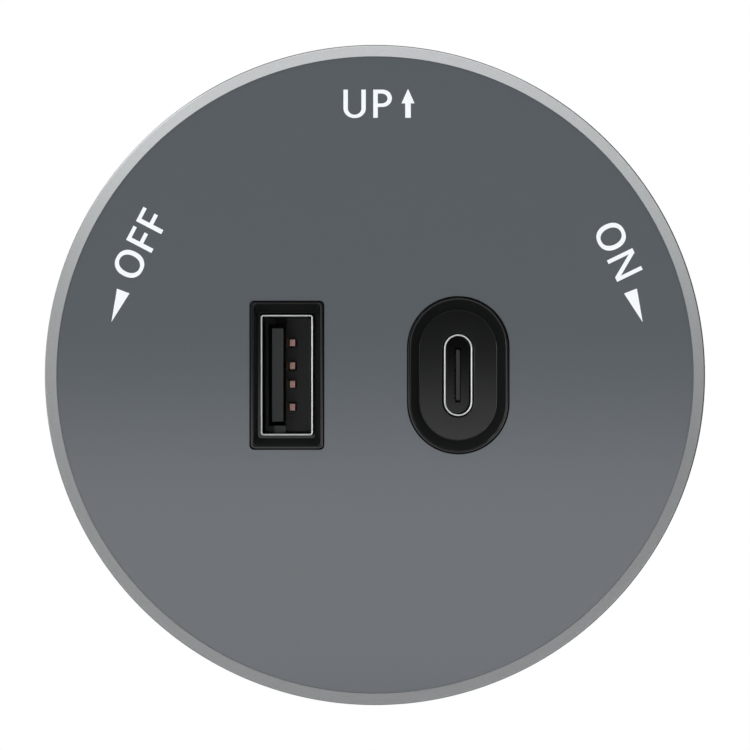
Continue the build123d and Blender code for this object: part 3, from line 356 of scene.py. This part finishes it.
# The finish of each slot. A grain that is really finer than about 0.1 mm is
# drawn at least that coarse, so that it shows.
FINISHES = {
    "blasted_aluminium": blasted_aluminium(),
    "graphite_paint": satin_graphite_lacquer(),
    "gloss_black_abs": polished_black_abs(),
    "port_plastic": charcoal_pbt(),
    "nickel_plate": nickel_plated_steel(),
    "copper_contact": plated_copper(),
    "gold_contact": gold_flashed_copper(),
    "white_ink": pad_printed_ink(),

    # Moulded with glass fibre and a textured tool: near black, dull and visibly pebbled
    "black_nylon": plain_plastic("glass_filled_nylon", "#1b1c1d", 0.42, 0.4, 0.03),
    # Moulded without filler: ivory, with a soft gloss
    "spacer_nylon": plain_plastic("natural_nylon", "#dedacc", 0.4),
    # Sliced from a block: milky white and waxy
    "glide_ptfe": plain_plastic("ptfe_sheet", "#e6e6e2", 0.5),
    # Rolled and bent strip: warm yellow with a satin shine
    "brass_strip": plain_metal("rolled_brass", "#c9a45c", 0.32),
    # Plated screws: pale grey and fairly bright
    "zinc_steel": plain_metal("zinc_plated_steel", "#b4b7bb", 0.3),
    # Drawn and coiled: darker grey and smooth
    "spring_steel": plain_metal("drawn_spring_wire", "#8c8d90", 0.28),
    # Wire drawn and coated with clear enamel: orange-brown and shiny
    "copper_winding": plain_metal("enamelled_copper", "#b86a3c", 0.3),
    # Printed over woven glass, whose threads stand 0.4 mm apart under it: deep green and glossy
    "board_green": plain_plastic("solder_mask_green", "#1f5a36", 0.3, 0.4, 0.004),
    # Pressed powder, fired: dark grey, dull and finely pitted
    "ferrite": plain_plastic("sintered_ferrite", "#33343a", 0.6, 0.1, 0.006),
    # Wound film: yellow and shiny, with shallow puckers
    "coil_tape": plain_plastic("polyester_tape", "#d8b63c", 0.25, 0.6, 0.01),
    # Film shrunk over a can: dark blue and glossy
    "capacitor_sleeve": plain_plastic("shrunk_sleeve", "#1d2030", 0.3),
    # Moulded cap: reddish brown, half dull
    "fuse_case": plain_plastic("moulded_brown_pbt", "#4a2f22", 0.4),
    # Dipped resin: blue and glossy, with the slow waves of a skin that ran
    "disc_blue": plain_plastic("dipped_epoxy", "#2a5fa8", 0.28, 0.8, 0.02),
    # Resin pressed round the chip: charcoal and dull
    "chip_black": plain_plastic("moulded_epoxy", "#222324", 0.5),
}

slot_of = {s["node"]: s["material_slot"] for s in frame["record"]["subparts"]}
for name, obj in nodes.items():
    obj.data.materials.clear()
    obj.data.materials.append(FINISHES[slot_of[name]])

# The USB-C tongue is in the other one's slot, but of a plastic of its own
nodes["usb_c_tongue"].data.materials[0] = charcoal_lcp()

# Points closer than this, in metres, are one
MERGE = 1e-6

# Faces that meet at more degrees than this keep a sharp edge
SMOOTH_ANGLE = 32


# Pieces are modelled lying on their backs: x to the right, y up the face and z
# towards the user. settle() stands them up, so that z becomes -Y.
def edit(piece):
    select_only(piece)
    bpy.ops.object.mode_set(mode="EDIT")
    bpy.ops.mesh.select_all(action="SELECT")


def pick_faces(piece, test):
    """Select only the faces that pass a test, in edit mode."""
    bpy.ops.object.mode_set(mode="OBJECT")
    bpy.context.tool_settings.mesh_select_mode = (False, False, True)
    for vertex in piece.data.vertices:
        vertex.select = False
    for edge in piece.data.edges:
        edge.select = False
    for face in piece.data.polygons:
        face.select = test(face)
    bpy.ops.object.mode_set(mode="EDIT")


def draw_up(rise):
    bpy.ops.mesh.extrude_region_move(TRANSFORM_OT_translate={"value": (0, 0, rise * MM)})


def flat_outline(name, size, corner, level, steps=10):
    """Level face with round corners, all selected, from which a piece is drawn up."""
    deselect()
    bpy.ops.mesh.primitive_plane_add(size=MM, location=(0, 0, level * MM))
    piece = bpy.context.active_object
    piece.name = name
    piece.scale = (*size, 1)
    bpy.ops.object.transform_apply(location=True, rotation=True, scale=True)
    edit(piece)
    bpy.ops.mesh.bevel(offset=corner * MM, segments=steps, affect="VERTICES")
    bpy.ops.mesh.remove_doubles(threshold=MERGE)
    return piece


def hoop(name, size, corner, level, steps):
    """Hoop drawn up from a rounded outline at its back, through its steps, and joined to where it began.

    A step (border, level) moves in evenly by a border, (width, height, level) scales to a size, and
    (border, level, width, height) moves in and then trues the result to a size.
    """
    back = level
    width, height = size
    piece = flat_outline(name, size, corner, level)
    for step in steps:
        if len(step) != 3:
            border, new_level = step[:2]
            bpy.ops.mesh.inset(thickness=border * MM, depth=(new_level - level) * MM)
            width, height = width - 2 * border, height - 2 * border
            if len(step) == 4:
                bpy.ops.transform.resize(value=(step[2] / width, step[3] / height, 1))
                width, height = step[2:]
        else:
            new_width, new_height, new_level = step
            draw_up(new_level - level)
            bpy.ops.transform.resize(value=(new_width / width, new_height / height, 1))
            width, height = new_width, new_height
        level = new_level
    pick_faces(piece, lambda f: len(f.vertices) > 4 and abs(f.center.z - back * MM) < MERGE)
    bpy.ops.mesh.delete(type="ONLY_FACE")
    bpy.context.tool_settings.mesh_select_mode = (False, True, False)
    bpy.ops.mesh.select_all(action="DESELECT")
    bpy.ops.mesh.select_non_manifold()
    bpy.ops.mesh.bridge_edge_loops()
    return piece


def turned(name, profile, facets=256):
    """Body turned about the axis: a circle drawn through its profile and back to the first point."""
    deselect()
    radius, level = profile[0]
    bpy.ops.mesh.primitive_circle_add(vertices=facets, radius=radius * MM, location=(0, 0, level * MM))
    piece = bpy.context.active_object
    piece.name = name
    bpy.ops.object.transform_apply(location=True, rotation=True, scale=True)
    edit(piece)
    for new_radius, new_level in profile[1:] + profile[:1]:
        draw_up(new_level - level)
        bpy.ops.transform.resize(value=(new_radius / radius, new_radius / radius, 1))
        radius, level = new_radius, new_level
    return piece


def cut(piece, cutter, operation="DIFFERENCE"):
    """Cut a piece with another, or add the other to it, and remove the other."""
    bpy.ops.object.mode_set(mode="OBJECT")
    select_only(piece)
    modifier = piece.modifiers.new("cut", "BOOLEAN")
    modifier.operation = operation
    modifier.object = cutter
    modifier.solver = "EXACT"
    bpy.ops.object.modifier_apply(modifier=modifier.name)
    bpy.data.objects.remove(cutter)


def settle(piece, slot, x=0.0, up=0.0, node=None):
    """Merge and turn the faces out, stand the piece up at its place, and give it its finish and body.

    A piece that stands for a node replaces it.
    """
    edit(piece)
    bpy.ops.mesh.remove_doubles(threshold=MERGE)
    bpy.ops.mesh.normals_make_consistent(inside=False)
    bpy.ops.object.mode_set(mode="OBJECT")
    piece.location = (x * MM, 0, up * MM)
    piece.rotation_euler = (math.radians(90), 0, 0)
    bpy.ops.object.transform_apply(location=True, rotation=True, scale=True)
    bpy.ops.object.shade_smooth_by_angle(angle=math.radians(SMOOTH_ANGLE))
    modifier = piece.modifiers.new("even_shading", "WEIGHTED_NORMAL")
    modifier.keep_sharp = True
    bpy.ops.object.modifier_apply(modifier=modifier.name)
    piece.data.materials.clear()
    piece.data.materials.append(FINISHES[slot])
    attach(piece, "head")
    if node:
        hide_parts(node)


def rounded_turn(radius, to_deg, steps=5):
    """How far a rounded edge has moved across and down, from its flat top to each of its steps."""
    for i in range(1, steps + 1):
        a = math.radians(to_deg * i / steps)
        yield radius * math.sin(a), radius * (1 - math.cos(a))


def narrower(size, border, level):
    """Hoop step to a size less a border all round."""
    return size[0] - 2 * border, size[1] - 2 * border, level


def round_up(size, radius, level):
    """Hoop steps over a rounded outer edge, from its foot at a size up to its flat top."""
    turn = [(0.0, 0.0), *rounded_turn(radius, 90)]
    return [narrower(size, radius - across, level - down) for across, down in reversed(turn)]


def round_down(radius, level, steps=5):
    """Hoop steps over a rounded inner edge, from its flat top down to its foot."""
    gone = 0.0
    for across, down in rounded_turn(radius, 90, steps):
        yield across - gone, level - down
        gone = across


# Ring, as radii: its outside, its bore, the rebate that holds the plate, the
# narrow flat on top of the rim, and the rib inside that the rear cover meets
RING_R = HEAD_R + 0.02
BORE_R = 33.9
REBATE_R = 34.425
RIM_TOP_R = 34.47
RIB_R = 33.0
RIB_FROM_Z, RIB_TO_Z = 5.4, 6.6

# Its back, with the broken edge there, and the round between its wall and its
# 45 degree rim
RING_BACK_Z = 0.6
BACK_EDGE = 0.4
BACK_EDGE_MIDDLE = 0.12
RIM_FOOT_ROUND = 0.8

# A loop this close to the top of the rim's slope keeps the slope's shading flat
EDGE_LOOP = 0.01


def machined_ring():
    """Plain wall, a round into the 45 degree rim, a rebate for the plate and a rib in the bore."""
    slope_foot = RIM_Z - (RING_R - RIM_TOP_R)
    round_from = slope_foot - RIM_FOOT_ROUND * math.tan(math.radians(45 / 2))
    rim_foot = [(RING_R - down, round_from + across) for across, down in rounded_turn(RIM_FOOT_ROUND, 45)]
    ring = turned("machined_ring", [
        (BORE_R, RING_BACK_Z), (RING_R - BACK_EDGE, RING_BACK_Z),
        (RING_R - BACK_EDGE_MIDDLE, RING_BACK_Z + BACK_EDGE_MIDDLE), (RING_R, RING_BACK_Z + BACK_EDGE),
        (RING_R, round_from), *rim_foot,
        (RIM_TOP_R + EDGE_LOOP, RIM_Z - EDGE_LOOP), (RIM_TOP_R, RIM_Z), (REBATE_R, RIM_Z),
        (REBATE_R, PLATE_BACK_Z), (BORE_R, PLATE_BACK_Z),
        (BORE_R, RIB_TO_Z), (RIB_R, RIB_TO_Z), (RIB_R, RIB_FROM_Z), (BORE_R, RIB_FROM_Z),
    ])
    settle(ring, "blasted_aluminium", node="head_ring")


# The plate's edge, its two openings, as width and height, and how far they are
# off the middles of the ports
PLATE_R = REBATE_R - 0.003
PORT_A_OPENING = (8.1, 16.14)
PORT_A_OPENING_CORNER = 0.5
PORT_C_OPENING = (11.1, 17.13)
OPENING_A_SHIFT = 0.02
OPENINGS_UP = -0.025


def lacquered_plate():
    """Thin disc with one opening for each outlet, whose walls are coloured near black as painted shade."""
    deselect()
    thick = FACE_Z - PLATE_BACK_Z
    bpy.ops.mesh.primitive_cylinder_add(vertices=256, radius=PLATE_R * MM, depth=thick * MM,
                                        location=(0, 0, (FACE_Z - thick / 2) * MM))
    plate = bpy.context.active_object
    plate.name = "lacquered_plate"
    bpy.ops.object.transform_apply(location=True, rotation=True, scale=True)
    past = 1.0
    for size, corner, x in ((PORT_A_OPENING, PORT_A_OPENING_CORNER, PORT_A_X + OPENING_A_SHIFT),
                            (PORT_C_OPENING, PORT_C_OPENING[0] / 2, PORT_C_X)):
        cutter = flat_outline("opening", size, corner, PLATE_BACK_Z - past, 16)
        draw_up(thick + 2 * past)
        bpy.ops.object.mode_set(mode="OBJECT")
        cutter.location = (x * MM, OPENINGS_UP * MM, 0)
        cut(plate, cutter)
    settle(plate, "graphite_paint", node="face_plate")
    # The openings' walls take a near-black colour: painted shade in the gaps
    plate.data.materials.append(painted_shade_opening_walls())
    for face in plate.data.polygons:
        if abs(face.normal.y) < 0.5 and face.center.xz.length < (PLATE_R - 1) * MM:
            face.material_index = 1


# Surrounds: a flange behind the plate, a rounded rim that stands in the opening
# with a gap round it, and steep walls down to a ledge or a floor
GAP = 0.135
GAP_AT_ENDS = 0.105
FLANGE_WIDE = 0.8
FLANGE_FRONT_Z = PLATE_BACK_Z
FLANGE_BACK_Z = 30.15

# The rim's width up to where its wall begins, its outer and inner rounds, and
# how far the inner one turns
RIM_WIDE = 0.257
RIM_EDGE = 0.05
RIM_ROUND = 0.09
INNER_TURN = 64

# What both surrounds' walls are given
SATIN_WALL = satin_black_abs()

# USB-A: the surround sits a little to the right of its shell and above its
# opening's middle. Its slot is cut further up and right, which leaves a ledge
# on the left and below, a little behind the shell's front.
PORT_A_SHIFT = 0.035
PORT_A_UP = 0.02
SURROUND_A_CORNER = 0.42
WALL_FOOT_A = (6.19, 13.65)
WALL_FOOT_SHIFT = (-0.08, -0.03, 0)
SLOT_A = (5.91, 13.34)
SLOT_SHIFT = (0.05, 0.115, 0)
LEDGE_DOWN = 0.15
LEDGE_STEP = 0.0005

# USB-C: the floor, how far it is behind the shell's front, the small fillet
# where the wall meets it, and the slot in it with its rounded edge
FLOOR_C = (8.42, 14.12)
FLOOR_DOWN = 0.1
FILLET = 0.08
FILLET_TURN = 67
SLOT_C_WIDE = 3.41
SLOT_C_EDGE = 0.07


def surround_size(opening):
    return opening[0] - 2 * GAP, opening[1] - 2 * GAP_AT_ENDS


def surround_outside(size):
    """Hoop steps from the back of a surround, round its flange and over its rim."""
    steps = [(*size, FLANGE_BACK_Z), narrower(size, -FLANGE_WIDE, FLANGE_BACK_Z),
             narrower(size, -FLANGE_WIDE, FLANGE_FRONT_Z), (*size, FLANGE_FRONT_Z)]
    steps += round_up(size, RIM_EDGE, BEZEL_Z)
    turn_from = RIM_WIDE - RIM_ROUND * math.tan(math.radians(INNER_TURN / 2))
    steps.append(narrower(size, turn_from, BEZEL_Z))
    for across, down in rounded_turn(RIM_ROUND, INNER_TURN):
        steps.append(narrower(size, turn_from + across, BEZEL_Z - down))
    return steps


def satin_walls(piece, x):
    """Give the outside, the flange and the steep inside walls behind the rim their satin finish."""
    piece.data.materials.append(SATIN_WALL)
    for face in piece.data.polygons:
        outward = (face.center.x - x * MM) * face.normal.x + face.center.z * face.normal.z > 0
        inside_wall = abs(face.normal.y) < 0.6 and face.center.y > -(BEZEL_Z - RIM_ROUND) * MM
        flange = face.normal.y < -0.9 and abs(face.center.y + FLANGE_FRONT_Z * MM) < 10 * MERGE
        if inside_wall or flange or outward and abs(face.normal.y) < 0.8:
            face.material_index = 1


def usb_a_surround():
    """Sloping walls down to a ledge, and a slot through it that is off centre.

    The slot's edge lies a hair below the ledge, so that the two can be told apart and moved.
    """
    size = surround_size(PORT_A_OPENING)
    ledge_z = SHELL_A_Z - LEDGE_DOWN
    steps = surround_outside(size)
    steps += [(*WALL_FOOT_A, ledge_z), (*SLOT_A, ledge_z - LEDGE_STEP), (*SLOT_A, BEZEL_BACK_Z)]
    piece = hoop("usb_a_surround", size, SURROUND_A_CORNER, BEZEL_BACK_Z, steps)
    bpy.ops.object.mode_set(mode="OBJECT")
    half_wide, half_tall = SLOT_A[0] / 2 + MERGE / MM, SLOT_A[1] / 2 + MERGE / MM
    for vertex in piece.data.vertices:
        x, y, z = vertex.co / MM
        if abs(z - ledge_z) < LEDGE_STEP / 2:
            vertex.co += Vector(WALL_FOOT_SHIFT) * MM
        elif z < ledge_z and abs(x) <= half_wide and abs(y) <= half_tall:
            vertex.co += Vector(SLOT_SHIFT) * MM
    port_x = PORT_A_X + PORT_A_SHIFT
    settle(piece, "gloss_black_abs", port_x, OPENINGS_UP + PORT_A_UP, "usb_a_bezel")
    satin_walls(piece, port_x)


def usb_c_surround():
    """Sloping walls with a fillet into a flat floor, and a slot with a rounded edge."""
    size = surround_size(PORT_C_OPENING)
    floor_z = SHELL_C_Z - FLOOR_DOWN
    steps = surround_outside(size)

    # Down the wall to where its fillet begins, trued to an even border round the floor
    to_floor = (steps[-1][0] - FLOOR_C[0]) / 2
    turn = math.radians(FILLET_TURN)
    to_fillet = to_floor - FILLET * math.tan(turn / 2) * math.cos(turn)
    width, height, level = narrower(FLOOR_C, to_fillet - to_floor, floor_z + FILLET * (1 - math.cos(turn)))
    steps.append((to_fillet, level, width, height))

    # Round the fillet, which turns the other way from an edge
    fillet = [(0.0, 0.0), *rounded_turn(FILLET, FILLET_TURN)]
    fillet_wide = gone = fillet[-1][0]
    for across, down in reversed(fillet[:-1]):
        steps.append((gone - across, floor_z + down))
        gone = across

    # Across the floor, and over the slot's edge to the back
    to_slot_edge = to_floor + (FLOOR_C[0] - SLOT_C_WIDE) / 2 - SLOT_C_EDGE
    steps.append((to_slot_edge - to_fillet - fillet_wide, floor_z))
    steps += round_down(SLOT_C_EDGE, floor_z, 4)
    steps.append((SLOT_C_WIDE, FLOOR_C[1] - FLOOR_C[0] + SLOT_C_WIDE, BEZEL_BACK_Z))
    piece = hoop("usb_c_surround", size, size[0] / 2, BEZEL_BACK_Z, steps)
    settle(piece, "gloss_black_abs", PORT_C_X, OPENINGS_UP, "usb_c_bezel")
    satin_walls(piece, PORT_C_X)


# Shells: folded steel tubes with a softened lip and four legs in the board. The
# lip is rounded a little outside and more inside, where the plug enters. A leg
# is a little thinner than the wall that it is joined to.
SHELLS_UP = -0.02
SHELL_WALL = 0.17
LIP_OUTSIDE = 0.05
LIP_INSIDE = 0.09
LEG_THICK = SHELL_WALL - 0.04
LEG_CORNER = 0.04
LEG_LONG = 2.4
LEG_IN_WALL = 0.2
SHELL_C_WIDE = 3.065


def usb_shell(name, size, corner, front, leg_y, leg_wide, x, node):
    """Tube with its lip at a level, and two legs on each side, leg_y above and below its middle."""
    steps = round_up(size, LIP_OUTSIDE, front)
    steps.append((SHELL_WALL - LIP_OUTSIDE - LIP_INSIDE, front))
    steps += round_down(LIP_INSIDE, front)
    steps.append(narrower(size, SHELL_WALL, BOARD_TOP_Z))
    shell = hoop(name, size, corner, BOARD_TOP_Z, steps)
    bpy.ops.object.mode_set(mode="OBJECT")
    for side in (-1, 1):
        for y in (-leg_y, leg_y):
            leg = flat_outline("leg", (LEG_THICK, leg_wide), LEG_CORNER, BOARD_TOP_Z - LEG_LONG, 2)
            draw_up(LEG_LONG + LEG_IN_WALL)
            bpy.ops.object.mode_set(mode="OBJECT")
            leg.location = (side * (size[0] - SHELL_WALL) / 2 * MM, y * MM, 0)
            cut(shell, leg, "UNION")
    settle(shell, "nickel_plate", x, SHELLS_UP, node)


# White marks, printed on the plate. Outlines are in millimetres on the face.
INK_THICK = 0.01


def oval(x, y, half_wide, half_tall, start=0, end=360, steps=48, fullness=2.0):
    """Points along an oval or an arc of one; fullness above 2 squares its shoulders."""
    points = []
    for i in range(steps + (end - start < 360)):
        a = math.radians(start + (end - start) * i / steps)
        c, s = math.cos(a), math.sin(a)
        points.append((x + half_wide * math.copysign(abs(c) ** (2 / fullness), c),
                       y + half_tall * math.copysign(abs(s) ** (2 / fullness), s)))
    return points


def set_at(points, origin, turn):
    """A letter's own points, turned by an angle and moved so that its origin is at a place on the face."""
    c, s = math.cos(math.radians(turn)), math.sin(math.radians(turn))
    return [(origin[0] + c * x - s * y, origin[1] + s * x + c * y) for x, y in points]


def printed(name, outlines):
    """Ink in the shape of closed outlines; one inside another leaves a hole."""
    data = bpy.data.curves.new(name, "CURVE")
    data.dimensions = "2D"
    data.fill_mode = "BOTH"
    data.extrude = INK_THICK * MM
    for outline in outlines:
        spline = data.splines.new("POLY")
        spline.points.add(len(outline) - 1)
        for point, (x, y) in zip(spline.points, outline):
            point.co = (x * MM, y * MM, 0, 1)
        spline.use_cyclic_u = True
    mark = bpy.data.objects.new(name, data)
    bpy.context.scene.collection.objects.link(mark)
    select_only(mark)
    bpy.ops.object.convert(target="MESH")
    mark = bpy.context.active_object
    mark.location.z = (FACE_Z + INK_THICK / 2) * MM
    bpy.ops.object.transform_apply(location=True, rotation=True, scale=True)
    settle(mark, "white_ink")


def letter_f():
    """F from its top left corner."""
    tall, stem, arm, arm_thick = 3.082, 0.4975, 1.73, 0.411
    bar, bar_top, bar_foot = 1.638, 1.4, 1.831
    return [(0, 0), (arm, 0), (arm, -arm_thick), (stem, -arm_thick), (stem, -bar_top), (bar, -bar_top),
            (bar, -bar_foot), (stem, -bar_foot), (stem, -tall), (0, -tall)]


def letter_n():
    """N from its bottom left corner."""
    wide, tall, stem, lean = 2.574, 3.071, 0.433, 0.53
    drop = tall * stem / (wide - lean)
    return [(0, 0), (0, tall), (lean, tall), (wide - stem, drop), (wide - stem, tall), (wide, tall),
            (wide, 0), (wide - lean, 0), (stem, tall - drop), (stem, 0)]


def letter_o():
    """O round its centre: the outside and the hole."""
    half_wide, half_tall, side_stroke, end_stroke = 1.435, 1.584, 0.51, 0.41
    return [oval(0, 0, half_wide, half_tall, fullness=2.25),
            oval(0, 0, half_wide - side_stroke, half_tall - end_stroke, fullness=2.15)]


def mark_up():
    """UP with an arrow after it, upright above the ports."""
    left, right, top, stroke = -3.415, -0.995, 30.865, 0.48
    middle, turn_y = (left + right) / 2, 28.843
    outside = oval(middle, turn_y, (right - left) / 2, 1.06, 180, 360, 24)
    inside = oval(middle, turn_y, (right - left) / 2 - stroke, 0.694, 360, 180, 24)
    letter_u = [(left, top), *outside, (right, top), (right - stroke, top), *inside, (left + stroke, top)]
    stem, stem_right, foot, bowl_foot = -0.192, 0.301, 27.816, 28.991
    bowl = oval(0.822, 29.928, 1.004, 0.937, 90, -90, 24)
    letter_p = [(stem, top), *bowl, (stem_right, bowl_foot), (stem_right, foot), (stem, foot)]
    hole = [(stem_right, 30.442), *oval(0.703, 29.903, 0.65, 0.539, 90, -90, 20), (stem_right, 29.364)]
    tip_x, tip_y, barb_y, shaft_left, shaft_right = 3.569, 30.951, 29.373, 3.267, 3.869
    arrow = [(tip_x, tip_y), (4.28, barb_y), (shaft_right, barb_y), (shaft_right, foot),
             (shaft_left, foot), (shaft_left, barb_y), (2.859, barb_y)]
    printed("mark_up", [letter_u, letter_p, hole, arrow])


def mark_off():
    """OFF along the left of the face, with an arrowhead below it."""
    turn = 62.4
    outlines = [set_at(o, (-26.546, 12.026), turn) for o in letter_o()]
    outlines += [set_at(letter_f(), corner, turn) for corner in ((-26.918, 14.622), (-25.853, 16.655))]
    outlines.append([(-27.903, 9.333), (-26.551, 8.825), (-28.508, 5.732)])
    printed("mark_off", outlines)


def mark_on():
    """ON along the right of the face, with an arrowhead below it."""
    turn = -64.1
    outlines = [set_at(o, (25.533, 14.96), turn) for o in letter_o()]
    outlines.append(set_at(letter_n(), (25.069, 12.383), turn))
    outlines.append([(26.929, 8.814), (28.324, 9.355), (28.951, 5.71)])
    printed("mark_on", outlines)


machined_ring()
lacquered_plate()
usb_a_surround()
usb_c_surround()
usb_shell("usb_a_tube", size=(5.675, 13.085), corner=0.3, front=SHELL_A_Z, leg_y=3.4, leg_wide=1.4,
          x=PORT_A_X - 0.01, node="usb_a_shell")
usb_shell("usb_c_tube", size=(SHELL_C_WIDE, 8.875), corner=SHELL_C_WIDE / 2, front=SHELL_C_Z, leg_y=2.2,
          leg_wide=1.2, x=PORT_C_X + 0.015, node="usb_c_shell")
mark_up()
mark_off()
mark_on()


# Camera: square on to the face, with a picture this wide at the face. From here
# on, places and sizes are in metres.
FACE_Y = -FACE_Z * MM
FRAME_WIDTH = 81.11 * MM
CAMERA_DISTANCE = 0.6
SENSOR = 36.0
camera_data = bpy.data.cameras.new("front_camera")
camera_data.sensor_width = SENSOR
camera_data.lens = SENSOR * CAMERA_DISTANCE / FRAME_WIDTH
camera = bpy.data.objects.new("front_camera", camera_data)
bpy.context.scene.collection.objects.link(camera)
camera.location = (0.0, FACE_Y - CAMERA_DISTANCE, 0.0)
camera.rotation_euler = (math.radians(90), 0.0, 0.0)
bpy.context.scene.camera = camera

# World: white to the camera, in reflections and through glass, a softer even light elsewhere
AMBIENT = 0.742
world = bpy.data.worlds.new("white_studio")
bpy.context.scene.world = world
world.use_nodes = True
tree = world.node_tree
background = tree.nodes["Background"]
background.inputs["Color"].default_value = linear("#ffffff")
path = add_node(tree, "ShaderNodeLightPath")
seen = path.outputs["Is Camera Ray"]
for ray in ("Is Glossy Ray", "Is Transmission Ray"):
    seen = add_node(tree, "ShaderNodeMath", {"operation": "MAXIMUM"},
                    links={0: seen, 1: path.outputs[ray]}).outputs[0]
strength = add_node(tree, "ShaderNodeMapRange", values={"To Min": AMBIENT, "To Max": 1.0},
                    links={"Value": seen})
tree.links.new(strength.outputs[0], background.inputs["Strength"])


def soft_lamp(name, place, look_at, size, radiance):
    """Area lamp of a given size and brightness, turned to a point, and out of the picture."""
    data = bpy.data.lights.new(name, "AREA")
    data.shape = "RECTANGLE"
    data.size, data.size_y = size
    data.energy = radiance * math.pi * size[0] * size[1]
    lamp = bpy.data.objects.new(name, data)
    bpy.context.scene.collection.objects.link(lamp)
    lamp.location = place
    lamp.rotation_euler = (Vector(look_at) - Vector(place)).to_track_quat("-Z", "Y").to_euler()
    lamp.visible_camera = False
    return lamp


# A wide box above, a small lamp high in front at the left, and one behind that
# only gives the ring's edge a reflection
soft_lamp("overhead_softbox", (0.3, 0.08, 0.7), (0.3, 0.08, 0), (3.3, 0.7), 1.65)
soft_lamp("corner_lamp", (-1.0, -1.4, 1.0), (0, 0, 0), (0.28, 0.28), 14.5)
edge_light = soft_lamp("edge_light", (-0.45, 0.8, 0.45), (0, 0, 0), (0.45, 0.25), 6.0)
edge_light.visible_diffuse = False


def reflected_sheet(name, place, size, turn, strength):
    """Glowing sheet that only reflections show; its turn is in degrees. Returns its tree and glow."""
    deselect()
    bpy.ops.mesh.primitive_plane_add(size=1.0, location=place, rotation=[math.radians(t) for t in turn])
    sheet = bpy.context.active_object
    sheet.name = name
    sheet.scale = (*size, 1.0)
    bpy.ops.object.transform_apply(location=True, rotation=True, scale=True)
    material = bpy.data.materials.new(name)
    material.use_nodes = True
    tree = material.node_tree
    tree.nodes.clear()
    glow = add_node(tree, "ShaderNodeEmission", values={"Strength": strength})
    add_node(tree, "ShaderNodeOutputMaterial", links={"Surface": glow.outputs[0]})
    sheet.data.materials.append(material)
    sheet.visible_camera = False
    sheet.visible_diffuse = False
    sheet.visible_shadow = False
    return tree, glow


# Card in front of the face, behind the camera: dark above, bright below, with a
# soft edge. The face mirrors it as a darker upper half and a lighter lower half.
# The ramp's ends are heights on the face where the mirrored shade changes.
CARD_DISTANCE = 1.47
CARD_WIDE = 2.4
CARD_TOP = 3.6
CARD_FOOT = -0.35
CARD_BRIGHT = 1.84
CARD_DARK = 0.04
RAMP_TOP = 2.0 * MM
RAMP_FOOT = -11.6 * MM


def front_card():
    """The card, with its shade changing where the face mirrors it at the ramp's heights.

    A point of the face mirrors one on the card that is reach times as high.
    """
    reach = 1 + CARD_DISTANCE / CAMERA_DISTANCE
    tree, glow = reflected_sheet("front_card", (0, FACE_Y - CARD_DISTANCE, (CARD_TOP + CARD_FOOT) / 2),
                                 (CARD_WIDE, CARD_TOP - CARD_FOOT), (-90, 0, 0), CARD_BRIGHT)
    place = add_node(tree, "ShaderNodeTexCoord")
    height = add_node(tree, "ShaderNodeSeparateXYZ", links={"Vector": place.outputs["Object"]})
    shade = add_node(tree, "ShaderNodeMapRange",
                     values={"From Min": RAMP_FOOT * reach, "From Max": RAMP_TOP * reach,
                             "To Min": CARD_BRIGHT, "To Max": CARD_DARK},
                     links={"Value": height.outputs["Z"]})
    tree.links.new(shade.outputs[0], glow.inputs["Strength"])


front_card()

# The floor is some way under the object, out of the front view
FLOOR_Z = -0.1

# A dark sheet on the right and a bright one on the left give the rounded edges
# their light and dark sides. One over the floor in front keeps the edges that
# face down dark, and a bright one far to the right lights the ring's rim there.
reflected_sheet("dark_right", (1.25, -1.125, 0), (0.75, 2.4), (90, 0, 90), 0.3)
reflected_sheet("bright_left", (-1.25, -1.125, -0.25), (0.75, 2.2), (90, 0, 90), 5.5)
reflected_sheet("dark_below", (0, -0.535, FLOOR_Z + 0.005), (1.2, 0.93), (0, 0, 0), 0.25)
reflected_sheet("bright_right", (2.0, -0.2, 0.2), (1.2, 1.6), (90, 0, 90), 1.5)

# Behind the face, a darker sheet on the right, a brighter one on the left and a
# darker one over the floor at the right shade the thin line where the rim
# rounds into the side wall
reflected_sheet("behind_right", (1.7, 1.5, 1.0), (2.0, 4.4), (90, 0, 90), 0.4)
reflected_sheet("behind_left", (-1.7, 1.9, 1.0), (1.8, 3.4), (90, 0, 90), 2.9)
reflected_sheet("below_right", (0.335, 0.31, FLOOR_Z + 0.003), (0.57, 0.48), (0, 0, 0), 0.4)


def pale_floor():
    """Plain pale plate, one metre square."""
    deselect()
    bpy.ops.mesh.primitive_plane_add(size=1.0, location=(0, 0, FLOOR_Z))
    floor = bpy.context.active_object
    floor.name = "pale_floor"
    material, _, _ = new_material("pale_floor", "#f4f4f4", Roughness=0.9)
    floor.data.materials.append(material)


pale_floor()

bpy.context.scene.view_settings.view_transform = "Standard"
